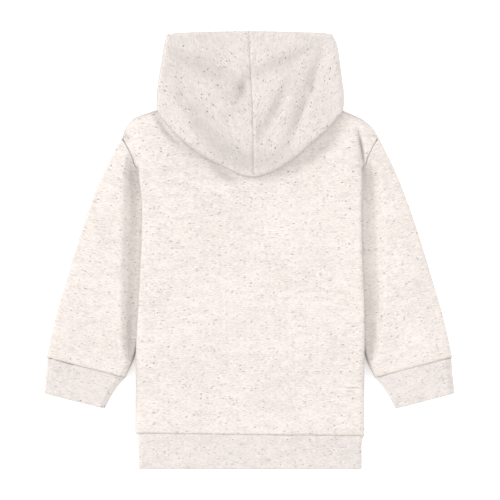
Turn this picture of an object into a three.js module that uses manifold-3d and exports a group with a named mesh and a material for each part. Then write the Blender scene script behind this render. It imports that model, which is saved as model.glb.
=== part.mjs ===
// A toddler's hooded sweatshirt, laid flat on its front with its back up and its hood up.
// Millimetres, +Z up. The origin is on the surface it lies on, under the middle of the garment.
// +Y runs from the hem to the top of the hood, +X to the right of someone who looks down on the back.
// Every piece is a wall of cloth: a grid of points on its outer face, and the same grid moved in.
import * as THREE from 'three';
import Module from 'manifold-3d';

const { lerp, smoothstep } = THREE.MathUtils;

// Cloth and seams
const CLOTH = 2;
const SEAM_GAP = 0.3;
const GARMENT_NAME = 'toddler_hoodie';

// Lengths along the back, from the hem's edge up to the top of the hood
const HEM_EDGE_Y = -266;
const HEM_SEAM_Y = -224;
const HEM_SEAM_FALL = 1.6;
const HEM_TILT_ENDS_Y = -180;
const NECK_BACK_Y = 165;
const NECK_SIDE = { x: 75, y: 183 };
const SHOULDER_TIP = { x: 155.6, y: 137.9 };
const UNDERARM = { x: 113, y: 8.5 };

// Heights of the outer face above the surface
const BODY_HEIGHT = 14;
const BODY_MIDDLE_HEIGHT = 12.5;
const SLEEVE_HEIGHT = 13.5;
const SLEEVE_FOLD_HEIGHT = 10;
const SLEEVE_WRIST_HEIGHT = 9;
const TUCKED_HEIGHT = 5.2;
const HEM_HEIGHT = 12.5;
const CUFF_HEIGHT = 10;
const HOOD_HEIGHT = 15;
const HOOD_ON_BACK_HEIGHT = 21.5;
const HOOD_TOP_HEIGHT = 11;

// How the back panel folds over the tucked sleeve
const FOLD_BEGINS_Y = 112;
const FOLD_CLOSED_Y = 88;
const TUCK_ENDS_Y = -118;
const TUCK_GONE_Y = -140;
const FLAP_CLEARANCE = 0.3;
const SHORTEST_FLAP = 2;
const FLAP_PAST_SLEEVE = 1.2;
const STEP_WIDTH = 8;
const SHOULDER_DROP = 10.6;
const SHOULDER_ROLL = 10;

// Half the body's width as it shows, on the left and the right of the centre line
const BODY_EDGE = [
  { y: -224, left: 139.5, right: 139.2 },
  { y: -183, left: 138.5, right: 139.2 },
  { y: -126, left: 138.5, right: 139.4 },
  { y: -101, left: 137.6, right: 139.6 },
  { y: -61, left: 135.7, right: 139.1 },
  { y: -21, left: 133.6, right: 137.2 },
  { y: 21, left: 131.8, right: 136.2 },
  { y: 53, left: 131.6, right: 136.0 },
  { y: 77, left: 133.6, right: 136.4 },
  { y: 101, left: 137.6, right: 137.6 },
  { y: 114, left: 141.5, right: 141.5 },
];

// The shoulder and neckline, from the shoulder tip to the centre back and the centre front
const SHOULDER_LINE = [
  { x: 75, left: 183, right: 183 },
  { x: 92, left: 178.5, right: 178 },
  { x: 113, left: 170.6, right: 169.5 },
  { x: 125, left: 167, right: 165 },
  { x: 134.5, left: 163.8, right: 160.6 },
  { x: 142, left: 160, right: 155.6 },
  { x: 148.5, left: 153.2, right: 149.6 },
  { x: 153, left: 146, right: 143.6 },
  { x: 155.6, left: 137.9, right: 137.9 },
];
const BACK_NECK = [
  { x: 0, y: 165 },
  { x: 30, y: 166.5 },
  { x: 55, y: 172 },
  { x: 75, y: 183 },
];
const FRONT_NECK = [
  { x: 0, y: 128 },
  { x: 25, y: 131 },
  { x: 50, y: 144 },
  { x: 66, y: 163 },
  { x: 75, y: 183 },
];

// The back panel's armhole seam where the sleeve's upper layer meets it
const BACK_ARMHOLE = [
  { y: 8.5, x: 113 },
  { y: 30, x: 118 },
  { y: 60, x: 124.5 },
  { y: 80, x: 129 },
  { y: 88, x: 131.5 },
  { y: 97, x: 138.6 },
  { y: 104, x: 140 },
  { y: 112, x: 142.6 },
  { y: 137.9, x: 155.6 },
];

// A sleeve from the armhole to the cuff: its outer fold and its underarm fold
const SLEEVE_LINES = [
  { share: 0, outerX: 156.2, outerY: 137.9, innerX: 113, innerY: 8.5 },
  { share: 1 / 6, outerX: 178, outerY: 93.2, innerX: 118.3, innerY: -20 },
  { share: 2 / 6, outerX: 195.4, outerY: 48.4, innerX: 123.6, innerY: -48 },
  { share: 3 / 6, outerX: 210, outerY: 3.7, innerX: 129, innerY: -76 },
  { share: 4 / 6, outerX: 223.4, outerY: -41, innerX: 134.6, innerY: -104 },
  { share: 5 / 6, outerX: 236.4, outerY: -85.8, innerX: 140.6, innerY: -130 },
  { share: 1, outerX: 246.2, outerY: -130.2, innerX: 151.6, innerY: -155 },
];

// The valley that a sleeve makes beside the body: how wide it is and how much of its full depth
const SLEEVE_VALLEY = [
  { y: -175, left: 6, right: 6, depth: 0 },
  { y: -150, left: 9, right: 10, depth: 0.25 },
  { y: -128, left: 13, right: 15, depth: 0.85 },
  { y: -100, left: 17, right: 22, depth: 1 },
  { y: 0, left: 21, right: 26, depth: 1 },
  { y: 60, left: 20, right: 24, depth: 1 },
  { y: 90, left: 17, right: 19, depth: 1 },
  { y: 104, left: 12, right: 14, depth: 0.75 },
  { y: 122, left: 6, right: 9, depth: 0 },
];

// A cuff from its seam with the sleeve to its open edge
const CUFF_LINES = [
  { share: 0, outerX: 245.3, outerY: -130.75, innerX: 152.3, innerY: -155.15 },
  { share: 0.25, outerX: 245.9, outerY: -142, innerX: 160.5, innerY: -164.5 },
  { share: 0.6, outerX: 247.4, outerY: -157.5, innerX: 170.2, innerY: -179.5 },
  { share: 1, outerX: 249.2, outerY: -174, innerX: 177, innerY: -192.8 },
];

// The hood's outline: its side, from the shoulder to the top corner, and its hanging lower edge
const HOOD_SIDE = [
  { y: 168.5, left: 112.6, right: 112.9 },
  { y: 178, left: 113.7, right: 114.9 },
  { y: 190, left: 113.6, right: 114.6 },
  { y: 206, left: 112.1, right: 112.6 },
  { y: 228, left: 108.5, right: 109.6 },
  { y: 250, left: 104.9, right: 106.2 },
  { y: 263, left: 101.9, right: 100.4 },
];
const HOOD_TOP = [
  { share: 0, y: 266 },
  { share: 0.5, y: 265.2 },
  { share: 0.9, y: 263.9 },
  { share: 1, y: 262.6 },
];
const HOOD_LOWER = [
  { share: 0, x: 0, y: 88.2 },
  { share: 0.12, x: 15, y: 90.4 },
  { share: 0.28, x: 33.8, y: 98.6 },
  { share: 0.42, x: 52.5, y: 108.4 },
  { share: 0.57, x: 71, y: 121.6 },
  { share: 0.73, x: 89.8, y: 137.4 },
  { share: 0.87, x: 103, y: 153 },
  { share: 1, x: 112.6, y: 168.5 },
];
const HOOD_CENTRE = [
  { y: 88, x: 4.1 },
  { y: 134, x: 3.7 },
  { y: 171, x: 3 },
  { y: 205, x: 1.2 },
  { y: 220, x: 0.5 },
  { y: 266, x: -1.4 },
];

// The face opening in the hood's lower layer, from the middle out: its edge at the chin and at the brow
const FACE_OPENING = [
  { x: 0, chin: 133, lip: 166 },
  { x: 30, chin: 142, lip: 170 },
  { x: 52, chin: 158, lip: 177 },
  { x: 66, chin: 178, lip: 184 },
];

// The largest folds: a soft trough along a bent line, or a hollow where the line is short
const HOOD_FOLDS = [
  { from: [-11, 206], bend: [-11, 197], to: [-12, 186], depth: 4, width: 8 },
  { from: [-96, 248], bend: [-52, 216], to: [-14, 208], depth: 1.6, width: 12 },
  { from: [-98, 204], bend: [-72, 160], to: [-24, 122], depth: 1.8, width: 11 },
  { from: [2, 222], bend: [52, 224], to: [94, 258], depth: 2.2, width: 10 },
  { from: [93, 246], bend: [78, 178], to: [44, 122], depth: 3.4, width: 8 },
  { from: [41, 190], bend: [32, 150], to: [8, 134], depth: 2, width: 7 },
];
const BACK_FOLDS = [
  { from: [134, 136], bend: [134.5, 124], to: [136, 112], depth: 3.2, width: 5 },
  { from: [-92, -196], bend: [-20, -188], to: [60, -204], depth: 0.8, width: 16 },
  { from: [70, 60], bend: [30, 20], to: [-30, 8], depth: 0.8, width: 20 },
];
const SLEEVE_FOLDS = [
  { from: [-216, -108], bend: [-190, -96], to: [-168, -122], depth: 1.4, width: 9 },
  { from: [216, -104], bend: [196, -92], to: [172, -122], depth: 1.6, width: 9 },
  { from: [-186, 66], bend: [-176, 40], to: [-168, 10], depth: 1, width: 10 },
];

/** A smooth curve through a table, with no overshoot: one named column as a function of another. */
function through(table, from, to) {
  const x = table.map((row) => row[from]);
  const y = table.map((row) => row[to]);
  const slope = x.slice(1).map((value, i) => (y[i + 1] - y[i]) / (value - x[i]));
  const tangent = x.map((_, i) => {
    if (i === 0) return slope[0];
    if (i === x.length - 1) return slope[i - 1];
    const product = slope[i - 1] * slope[i];
    return product <= 0 ? 0 : (2 * product) / (slope[i - 1] + slope[i]);
  });
  return (at) => {
    if (at <= x[0]) return y[0];
    if (at >= x[x.length - 1]) return y[x.length - 1];
    const i = x.findIndex((value) => value > at) - 1;
    const width = x[i + 1] - x[i];
    const t = (at - x[i]) / width;
    const rest = 1 - t;
    return y[i] * (1 + 2 * t) * rest * rest + y[i + 1] * t * t * (3 - 2 * t)
      + width * t * rest * (tangent[i] * rest - tangent[i + 1] * t);
  };
}

const column = (side) => (side < 0 ? 'left' : 'right');
const bothSides = (make) => ({ [-1]: make(-1), 1: make(1) });
const bodyEdge = bothSides((side) => through(BODY_EDGE, 'y', column(side)));
const valleyWidth = bothSides((side) => through(SLEEVE_VALLEY, 'y', column(side)));
const hoodSide = bothSides((side) => through(HOOD_SIDE, 'y', column(side)));
const valleyDepth = through(SLEEVE_VALLEY, 'y', 'depth');
const shoulderY = bothSides((side) => through(SHOULDER_LINE, 'x', column(side)));
const backNeckY = through(BACK_NECK, 'x', 'y');
const frontNeckY = through(FRONT_NECK, 'x', 'y');
const backArmholeX = through(BACK_ARMHOLE, 'y', 'x');
const chinY = through(FACE_OPENING, 'x', 'chin');
const lipY = through(FACE_OPENING, 'x', 'lip');
const hoodTopY = through(HOOD_TOP, 'share', 'y');
const hoodLowerX = through(HOOD_LOWER, 'share', 'x');
const hoodLowerY = through(HOOD_LOWER, 'share', 'y');
const hoodCentreX = through(HOOD_CENTRE, 'y', 'x');
const underarmX = through([...SLEEVE_LINES].reverse(), 'innerY', 'innerX');

const onShoulder = (x) => shoulderY[x < 0 ? -1 : 1](Math.abs(x));
const topOfBack = (x) => (Math.abs(x) > NECK_SIDE.x ? onShoulder(x) : backNeckY(Math.abs(x)));
const topOfFront = (x) => (Math.abs(x) > NECK_SIDE.x ? onShoulder(x) : frontNeckY(Math.abs(x)));

/** How far the hem's seam lies off its level at a place: it falls a little to the right. */
function hemTilt(x, y) {
  const fade = 1 - smoothstep(y, HEM_SEAM_Y, HEM_TILT_ENDS_Y);
  return -HEM_SEAM_FALL * (x / bodyEdge[1](HEM_SEAM_Y)) * fade;
}

/** How deep the folds of a table are at a place. */
function foldDepth(folds, x, y) {
  let depth = 0;
  for (const fold of folds) {
    const curve = new THREE.QuadraticBezierCurve(
      new THREE.Vector2(...fold.from), new THREE.Vector2(...fold.bend), new THREE.Vector2(...fold.to));
    const steps = 16;
    for (let i = 0, nearest = Infinity, share = 0; i <= steps; i += 1) {
      const point = curve.getPoint(i / steps);
      const distance = Math.hypot(point.x - x, point.y - y);
      if (distance < nearest) {
        nearest = distance;
        share = i / steps;
      }
      if (i === steps) {
        const ends = 0.45 + 0.55 * Math.sin(Math.PI * share);
        depth += fold.depth * ends * Math.exp(-((nearest / fold.width) ** 2));
      }
    }
  }
  return depth;
}

/** Evenly spread numbers from a first to a last one. */
function spread(first, last, count) {
  return Array.from({ length: count }, (_, i) => lerp(first, last, i / (count - 1)));
}

/** A closed solid from the points of two matching grids, the outer face's and the inner face's. */
function closedWall(outer, inner, ring) {
  const rows = outer.length;
  const columns = outer[0].length;
  const positions = [...outer.flat(), ...inner.flat()].flatMap((point) => point.toArray());
  const triangles = [];
  const quad = (a, b, c, d) => triangles.push(a, b, c, a, c, d);
  const at = (row, index, face) => face * rows * columns + row * columns + (index % columns);
  const spans = ring ? columns : columns - 1;
  for (let j = 0; j < rows - 1; j += 1) {
    for (let i = 0; i < spans; i += 1) {
      quad(at(j, i, 0), at(j, i + 1, 0), at(j + 1, i + 1, 0), at(j + 1, i, 0));
      quad(at(j, i, 1), at(j + 1, i, 1), at(j + 1, i + 1, 1), at(j, i + 1, 1));
    }
    if (!ring) {
      quad(at(j, 0, 0), at(j + 1, 0, 0), at(j + 1, 0, 1), at(j, 0, 1));
      const end = columns - 1;
      quad(at(j, end, 0), at(j, end, 1), at(j + 1, end, 1), at(j + 1, end, 0));
    }
  }
  const last = rows - 1;
  for (let i = 0; i < spans; i += 1) {
    quad(at(0, i, 0), at(0, i, 1), at(0, i + 1, 1), at(0, i + 1, 0));
    quad(at(last, i, 0), at(last, i + 1, 0), at(last, i + 1, 1), at(last, i, 1));
  }
  const geometry = new THREE.BufferGeometry();
  geometry.setAttribute('position', new THREE.Float32BufferAttribute(positions, 3));
  geometry.setIndex(triangles);
  return geometry;
}

/** A grid of points moved along its own normals, away from the side that rows and columns face. */
function movedIn(grid, distance) {
  const pick = (list, i) => list[THREE.MathUtils.clamp(i, 0, list.length - 1)];
  return grid.map((row, j) => row.map((point, i) => {
    const across = pick(row, i + 1).clone().sub(pick(row, i - 1));
    const along = pick(grid, j + 1)[i].clone().sub(pick(grid, j - 1)[i]);
    return point.clone().addScaledVector(across.cross(along).normalize(), -distance);
  }));
}

/** A flat panel's wall: the grid is its outer face, and its columns run to +X where that face is up. */
const panelWall = (grid) => closedWall(grid, movedIn(grid, CLOTH), false);

/** How far the flap of the back panel stands off the surface, above the tucked sleeve. */
const flapHeight = (y) => (TUCKED_HEIGHT + FLAP_CLEARANCE) * smoothstep(y, TUCK_GONE_Y, TUCK_ENDS_Y);

/** The roll at one side of the back panel: where it begins, how long it is and how far it turns. */
function sideRoll(side, y, endX) {
  const radius = (BODY_HEIGHT - flapHeight(y)) / 2;
  const length = Math.PI * radius;
  const closed = 1 - smoothstep(y, FOLD_CLOSED_Y, FOLD_BEGINS_Y);
  const foldedStart = bodyEdge[side](y) - radius;
  const inside = y > UNDERARM.y ? backArmholeX(y) : underarmX(y) - FLAP_PAST_SLEEVE;
  const flap = Math.max(SHORTEST_FLAP, lerp(SHORTEST_FLAP, foldedStart - inside, closed));
  const flatStart = endX - length - flap;
  return { start: lerp(flatStart, foldedStart, closed), length, flap, turn: Math.PI * closed };
}

/** A point of the roll, at a length along it from where it begins. */
function rollPoint(roll, along) {
  const bent = Math.min(along, roll.length);
  const straight = along - bent;
  const angle = (roll.turn * bent) / roll.length;
  const radius = roll.turn > 1e-3 ? roll.length / roll.turn : 0;
  const x = radius ? radius * Math.sin(angle) : bent;
  const drop = radius ? radius * (1 - Math.cos(angle)) : 0;
  return { x: roll.start + x + straight * Math.cos(angle), drop: drop + straight * Math.sin(angle) };
}

/** Height of the back's outer face. It sinks a little in the middle and rolls down at the shoulders. */
function backHeight(x, y) {
  const roll = sideRoll(Math.sign(x) || 1, Math.min(y, FOLD_CLOSED_Y), 0);
  const flatness = smoothstep(roll.start - Math.abs(x), 0, 60) * (1 - smoothstep(y, 50, 85));
  const sag = (BODY_HEIGHT - BODY_MIDDLE_HEIGHT) * flatness;
  const shoulder = smoothstep(Math.abs(x), NECK_SIDE.x - 5, NECK_SIDE.x + 9);
  const toEdge = THREE.MathUtils.clamp((topOfBack(x) - y) / SHOULDER_ROLL, 0, 1);
  const fromFold = smoothstep(roll.start - Math.abs(x), -2, 14);
  const creases = foldDepth(BACK_FOLDS, x, y) * (y > FOLD_CLOSED_Y ? 1 : fromFold);
  return BODY_HEIGHT - sag - creases - SHOULDER_DROP * shoulder * (1 - toEdge) ** 2;
}

const BACK_ROWS = [-224, -214, -198, -180, -160, -147, -138, -130, -123, -116, -106, -92, -72, -48, -24, -6,
  8.5, 24, 42, 60, 74, 83, 89, 94, 99, 104];
const TOP_SHARES = [0.14, 0.32, 0.52, 0.7, 0.82, 0.91, 1];
const ROLL_SHARES = [0, 1 / 6, 2 / 6, 3 / 6, 4 / 6, 5 / 6, 1];
const FLAP_SHARES = [0.5, 1];
const TOP_COLUMNS = [0.1, 0.25, 0.4, 0.52, 0.64, 0.76, 0.87, 0.95];

/** Half of one row of the back panel, from the centre out to the end of its flap. */
function halfBackRow(side, y, share) {
  const endY = lerp(y, SHOULDER_TIP.y, share);
  const roll = sideRoll(side, endY, backArmholeX(endY) - SEAM_GAP);
  const widen = SHOULDER_TIP.x / backArmholeX(endY);
  const place = (x, heightX, drop) => {
    const rowY = lerp(y, topOfBack(side * x * widen), share);
    const z = backHeight(side * heightX, rowY) - drop;
    return new THREE.Vector3(side * x, rowY + hemTilt(side * x, rowY), z);
  };
  const top = TOP_COLUMNS.map((part) => place(part * roll.start, part * roll.start, 0));
  const lengths = [
    ...ROLL_SHARES.map((part) => part * roll.length),
    ...FLAP_SHARES.map((part) => roll.length + part * roll.flap),
  ];
  return [...top, ...lengths.map((length) => {
    const { x, drop } = rollPoint(roll, length);
    return place(x, lerp(Math.min(x, SHOULDER_TIP.x), roll.start, roll.turn / Math.PI), drop);
  })];
}

/** One row of the back panel from its left seam to its right seam. */
function backRow(y, share) {
  const centre = lerp(y, topOfBack(0), share);
  return [
    ...halfBackRow(-1, y, share).reverse(),
    new THREE.Vector3(0, centre + hemTilt(0, centre), backHeight(0, centre)),
    ...halfBackRow(1, y, share),
  ];
}

function backPanel() {
  const rows = BACK_ROWS.map((y) => backRow(y, 0));
  const lastY = BACK_ROWS[BACK_ROWS.length - 1];
  return panelWall([...rows, ...TOP_SHARES.map((share) => backRow(lastY, share))]);
}

const FRONT_ROWS = [-224, -198, -180, -160, -140, -131, -124, -117, -92, -48, -8, 0, 9, 50, 104];
const FRONT_TOP_SHARES = [0.3, 0.6, 0.8, 1];
const NECK_COLUMNS = [0, 14, 30, 45, 57, 66, 71, 75];
const FRONT_COLUMNS = [0.5];
const STEP_SHARES = [0, 0.33, 0.67, 1];

/** The straight armhole seam of the lower layers, from the underarm to the shoulder tip. */
function lowerArmholeX(y) {
  const share = THREE.MathUtils.clamp((y - UNDERARM.y) / (SHOULDER_TIP.y - UNDERARM.y), 0, 1);
  return lerp(UNDERARM.x, SHOULDER_TIP.x, share);
}

/** Where the front panel ends at a side: at the back's flap, or at the sleeve's lower layer. */
function frontEdge(side, y) {
  if (y > UNDERARM.y) return lowerArmholeX(y) - SEAM_GAP;
  const roll = sideRoll(side, y, 0);
  return rollPoint(roll, roll.length + roll.flap).x - SEAM_GAP;
}

/** Half of one row of the front panel. Below the armhole its edge steps up to meet the flap. */
function halfFrontRow(side, y, share) {
  const endY = lerp(y, SHOULDER_TIP.y, share);
  const edge = frontEdge(side, endY);
  const stepUp = flapHeight(endY) * (1 - smoothstep(endY, -8, 0));
  const widen = SHOULDER_TIP.x / lowerArmholeX(endY);
  const place = (x, z) => {
    const rowY = lerp(y, topOfFront(side * x * widen), share);
    return new THREE.Vector3(side * x, rowY + hemTilt(side * x, rowY), z);
  };
  return [
    ...NECK_COLUMNS.map((x) => place(x, 0)),
    ...FRONT_COLUMNS.map((part) => place(lerp(NECK_SIDE.x, edge - STEP_WIDTH, part), 0)),
    ...STEP_SHARES.map((part) => place(edge - STEP_WIDTH * (1 - part), stepUp * smoothstep(part, 0, 1))),
  ];
}

function frontPanel() {
  const row = (y, share) => [
    ...halfFrontRow(1, y, share).reverse(),
    ...halfFrontRow(-1, y, share).slice(1),
  ];
  const lastY = FRONT_ROWS[FRONT_ROWS.length - 1];
  return panelWall([
    ...FRONT_ROWS.map((y) => row(y, 0)),
    ...FRONT_TOP_SHARES.map((share) => row(lastY, share)),
  ]);
}

/** One ring of a flattened tube that lies across a line from its outer fold to its inner fold. */
function flatRing(line, heights, inset, placeTop = (point) => point) {
  const { outer, inner } = line;
  const width = Math.hypot(inner.x - outer.x, inner.y - outer.y);
  const at = (across, z) => {
    const share = across / width;
    return new THREE.Vector3(lerp(outer.x, inner.x, share), lerp(outer.y, inner.y, share), z);
  };
  const outerRadius = heights.outer / 2;
  const innerRadius = heights.inner / 2;
  const arc = (middle, radius, from, to) => spread(from, to, 7).map((angle) => at(
    middle + (radius - inset) * Math.cos(angle), radius + (radius - inset) * Math.sin(angle)));
  const floor = spread(width - innerRadius, outerRadius, 8).slice(1, -1).map((across) => at(across, inset));
  const outerArc = arc(outerRadius, outerRadius, -Math.PI / 2, (-3 * Math.PI) / 2);
  const top = spread(outerRadius, width - innerRadius, 16).slice(1, -1).map((across) => {
    const point = at(across, 0);
    point.z = heights.top(point.x, point.y, across, width) - inset;
    return placeTop(point);
  });
  const innerArc = arc(width - innerRadius, innerRadius, Math.PI / 2, -Math.PI / 2);
  innerArc.slice(0, 3).forEach(placeTop);
  return [...floor, ...outerArc, ...top, ...innerArc];
}

/** A tube's wall from its rings, given as a function of the share of its length and the inset. */
function tubeWall(shares, ring, mirrored) {
  const turned = (points) => (mirrored ? [...points].reverse() : points);
  const outer = shares.map((share) => turned(ring(share, 0)));
  const inner = shares.map((share) => turned(ring(share, CLOTH)));
  return closedWall(outer, inner, true);
}

/** The line across a tube at a share of its length, from a table of its two folds. */
function lineAcross(table) {
  const read = ['outerX', 'outerY', 'innerX', 'innerY'].map((name) => through(table, 'share', name));
  return (side, share) => {
    const [outerX, outerY, innerX, innerY] = read.map((curve) => curve(share));
    return { outer: { x: side * outerX, y: outerY }, inner: { x: side * innerX, y: innerY } };
  };
}

/** Height of a sleeve's upper layer: a crown that sinks into the valley beside the body. */
function sleeveHeight(side, x, y, fromFold) {
  const crown = lerp(SLEEVE_FOLD_HEIGHT, SLEEVE_HEIGHT, smoothstep(fromFold, 0, 28));
  const wrist = lerp(crown, SLEEVE_WRIST_HEIGHT + 1.5, smoothstep(-y, 105, 155) * 0.6);
  const beyond = side * x - bodyEdge[side](y);
  const sunk = valleyDepth(y) * (1 - smoothstep(beyond, 2, 2 + valleyWidth[side](y)));
  return lerp(wrist - foldDepth(SLEEVE_FOLDS, x, y), TUCKED_HEIGHT, sunk);
}

const sleeveLine = lineAcross(SLEEVE_LINES);
const SLEEVE_SHARES = [0, 0.025, 0.06, 0.11, 0.17, 0.24, 0.32, 0.4, 0.48, 0.56, 0.64, 0.72, 0.79, 0.86, 0.93, 1];
const SLEEVE_SHIFT_ENDS = 0.06;

/** Ring of a sleeve. Near the armhole its upper layer moves in, to the back panel's seam. */
function sleeveRing(side, share, inset) {
  const line = sleeveLine(side, share);
  const heightAt = (x, y, across) => sleeveHeight(side, x, y, across);
  const underarmHeight = lerp(
    sleeveHeight(side, line.inner.x, line.inner.y, 60), SLEEVE_WRIST_HEIGHT, smoothstep(share, 0.86, 1));
  const shift = 1 - smoothstep(share, 0, SLEEVE_SHIFT_ENDS);
  const placeTop = (point) => {
    point.x += side * shift * (backArmholeX(point.y) - lowerArmholeX(point.y));
    if (share < 0.3) point.z = Math.min(point.z, sleeveHeight(side, point.x, point.y, 60) - inset);
    return point;
  };
  const inner = Math.max(TUCKED_HEIGHT, underarmHeight);
  return flatRing(line, { outer: SLEEVE_FOLD_HEIGHT, inner, top: heightAt }, inset, placeTop);
}

const sleeve = (side) => tubeWall(SLEEVE_SHARES, (share, inset) => sleeveRing(side, share, inset), side < 0);

const cuffLine = lineAcross(CUFF_LINES);

function cuff(side) {
  const ring = (share, inset) => {
    const height = lerp(CUFF_HEIGHT + 0.5, CUFF_HEIGHT - 0.5, share);
    const top = (x, y, across, width) => height + 1.2 * Math.sin((Math.PI * across) / width);
    return flatRing(cuffLine(side, share), { outer: height - 1.5, inner: height - 1.5, top }, inset);
  };
  return tubeWall(spread(0, 1, 6), ring, side < 0);
}

const HEM_HALF = { seam: 137.6, edge: 136 };

function hemBand() {
  const seamY = HEM_SEAM_Y - SEAM_GAP;
  const ring = (share, inset) => {
    const half = lerp(HEM_HALF.seam, HEM_HALF.edge, smoothstep(share, 0, 0.3));
    const edgeY = (x) => lerp(seamY + hemTilt(x, HEM_SEAM_Y), HEM_EDGE_Y, share);
    const line = { outer: { x: -half, y: edgeY(-half) }, inner: { x: half, y: edgeY(half) } };
    const top = (x, _, across, width) => HEM_HEIGHT - 1.5 + 0.9 * Math.sin((Math.PI * across) / width);
    return flatRing(line, { outer: HEM_HEIGHT - 1.5, inner: HEM_HEIGHT - 1.5, top }, inset);
  };
  return tubeWall(spread(0, 1, 5), ring, true);
}

// The hood's lower layer: it lies on the back, then slopes to the surface past the shoulders
const HOOD_CLEARANCE = 0.4;
const HOOD_ROOM = 2;
const NECK_MOUTH_DEPTH = 16;
const NECK_MOUTH_TAPER = 5;
const NECK_SEAM_LAP = 2;
const FRONT_PLATE_HALF = 94;

/** A point of the flattened hood on its upper or lower face, drawn in by the inset. */
function hoodPoint(side, across, up, upper, inset) {
  const lowerX = hoodLowerX(across);
  const reach = hoodLowerX(1);
  const sideEnd = hoodSide[side];
  const lowerY = hoodLowerY(across) + inset;
  const topY = hoodTopY(across) - inset;
  const y = lerp(lowerY, topY, up);
  const onSide = sideEnd(lerp(hoodLowerY(1), hoodTopY(1), up)) - inset;
  const wide = across * onSide;
  const x = lerp(lowerX * (1 - inset / reach), wide, Math.min(1, up * 4 + across * 0.3));
  const centre = hoodCentreX(y) * (1 - across);
  const roundness = (distance, radius) => {
    const rest = 1 - THREE.MathUtils.clamp(distance / radius, 0, 1);
    return Math.sqrt(1 - rest ** 2);
  };
  const edge = roundness(up * (topY - lowerY), 5) * roundness((1 - up) * (topY - lowerY), 6)
    * roundness((1 - across) * onSide, 6);
  const ceiling = hoodCeiling(side * x + centre, y) - inset;
  const slope = hoodFloor(side * x + centre, y + 0.5) - hoodFloor(side * x + centre, y - 0.5);
  const floor = hoodFloor(side * x + centre, y) + inset * Math.hypot(1, slope);
  const middle = (ceiling + floor) / 2;
  return new THREE.Vector3(side * x + centre, y, lerp(middle, upper ? ceiling : floor, edge));
}

function hoodCeiling(x, y) {
  const onBack = 1 - smoothstep(y, 176, 212);
  const toTop = smoothstep(y, 215, 262);
  const height = lerp(lerp(HOOD_HEIGHT, HOOD_ON_BACK_HEIGHT, onBack), HOOD_TOP_HEIGHT, toTop);
  return Math.max(height - foldDepth(HOOD_FOLDS, x, y), hoodFloor(x, y) + 2 * CLOTH + HOOD_ROOM);
}

function hoodFloor(x, y) {
  const pastEdge = y - topOfBack(x);
  const onShoulder = smoothstep(Math.abs(x), NECK_SIDE.x - 7, NECK_SIDE.x + 9);
  return (BODY_HEIGHT + HOOD_CLEARANCE) * (1 - smoothstep(pastEdge, lerp(3, 1, onShoulder), 15));
}

/** The whole hood on one side as a closed pillow, which the inset makes smaller all round. */
function hoodPillow(side, inset) {
  const acrossShares = [0, 0.12, 0.24, 0.36, 0.48, 0.6, 0.7, 0.8, 0.88, 0.94, 0.98, 1];
  const upShares = [0, 0.012, 0.04, 0.09, 0.16, 0.24, 0.31, 0.36, 0.4, 0.43, 0.46, 0.5, 0.54, 0.61, 0.69, 0.77,
    0.85, 0.91, 0.96, 0.985, 1];
  const face = (upper) => upShares.map((up) => acrossShares.map(
    (across) => hoodPoint(side, across, up, upper, inset)));
  const pull = (grid) => grid.map((row) => {
    const centre = row[0].clone();
    centre.x += inset ? -side * 6 : side * (SEAM_GAP / 2);
    return [centre, ...row.slice(1)];
  });
  const [upper, lower] = [pull(face(true)), pull(face(false))];
  const turned = (grid) => (side < 0 ? grid.map((row) => [...row].reverse()) : grid);
  return stitchedFaces(turned(upper), turned(lower));
}

/** A solid between an upper and a lower grid that share the rims on which they lie together. */
function stitchedFaces(upper, lower) {
  const rows = upper.length;
  const columns = upper[0].length;
  const points = [];
  const known = new Map();
  const indexOf = (point) => {
    const key = point.toArray().map((value) => Math.round(value * 1e4)).join();
    if (!known.has(key)) {
      known.set(key, points.length / 3);
      points.push(...point.toArray());
    }
    return known.get(key);
  };
  const triangles = [];
  const quad = (...corners) => {
    const [a, b, c, d] = corners.map(indexOf);
    for (const triangle of [[a, b, c], [a, c, d]]) {
      if (new Set(triangle).size === 3) triangles.push(...triangle);
    }
  };
  for (let j = 0; j < rows - 1; j += 1) {
    for (let i = 0; i < columns - 1; i += 1) {
      quad(upper[j][i], upper[j][i + 1], upper[j + 1][i + 1], upper[j + 1][i]);
      quad(lower[j][i], lower[j + 1][i], lower[j + 1][i + 1], lower[j][i + 1]);
    }
    for (const [i, turn] of [[0, 1], [columns - 1, -1]]) {
      const rim = [upper[j][i], upper[j + 1][i], lower[j + 1][i], lower[j][i]];
      quad(...(turn > 0 ? rim : rim.reverse()));
    }
  }
  return { points, triangles };
}

const wasm = await Module();
wasm.setup();

const solidFrom = ({ points, triangles }) => new wasm.Manifold(new wasm.Mesh({
  numProp: 3, vertProperties: new Float32Array(points), triVerts: new Uint32Array(triangles),
}));

/** An upright plate with the outline of some corners, between two heights. */
function plate(corners, bottom, top) {
  const shape = new THREE.Shape(corners.map(([x, y]) => new THREE.Vector2(x, y)));
  const geometry = new THREE.ExtrudeGeometry(shape, { depth: top - bottom, bevelEnabled: false });
  geometry.translate(0, 0, bottom);
  const points = [];
  const known = new Map();
  const position = geometry.getAttribute('position');
  const triangles = Array.from({ length: position.count }, (_, i) => {
    const point = [position.getX(i), position.getY(i), position.getZ(i)];
    const key = point.map((value) => Math.round(value * 1e4)).join();
    if (!known.has(key)) {
      known.set(key, points.length / 3);
      points.push(...point);
    }
    return known.get(key);
  });
  return solidFrom({ points, triangles });
}

const toGeometry = (solid) => {
  const mesh = solid.getMesh();
  const geometry = new THREE.BufferGeometry();
  geometry.setAttribute('position', new THREE.BufferAttribute(new Float32Array(mesh.vertProperties), 3));
  geometry.setIndex(new THREE.BufferAttribute(new Uint32Array(mesh.triVerts), 1));
  return geometry;
};

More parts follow.
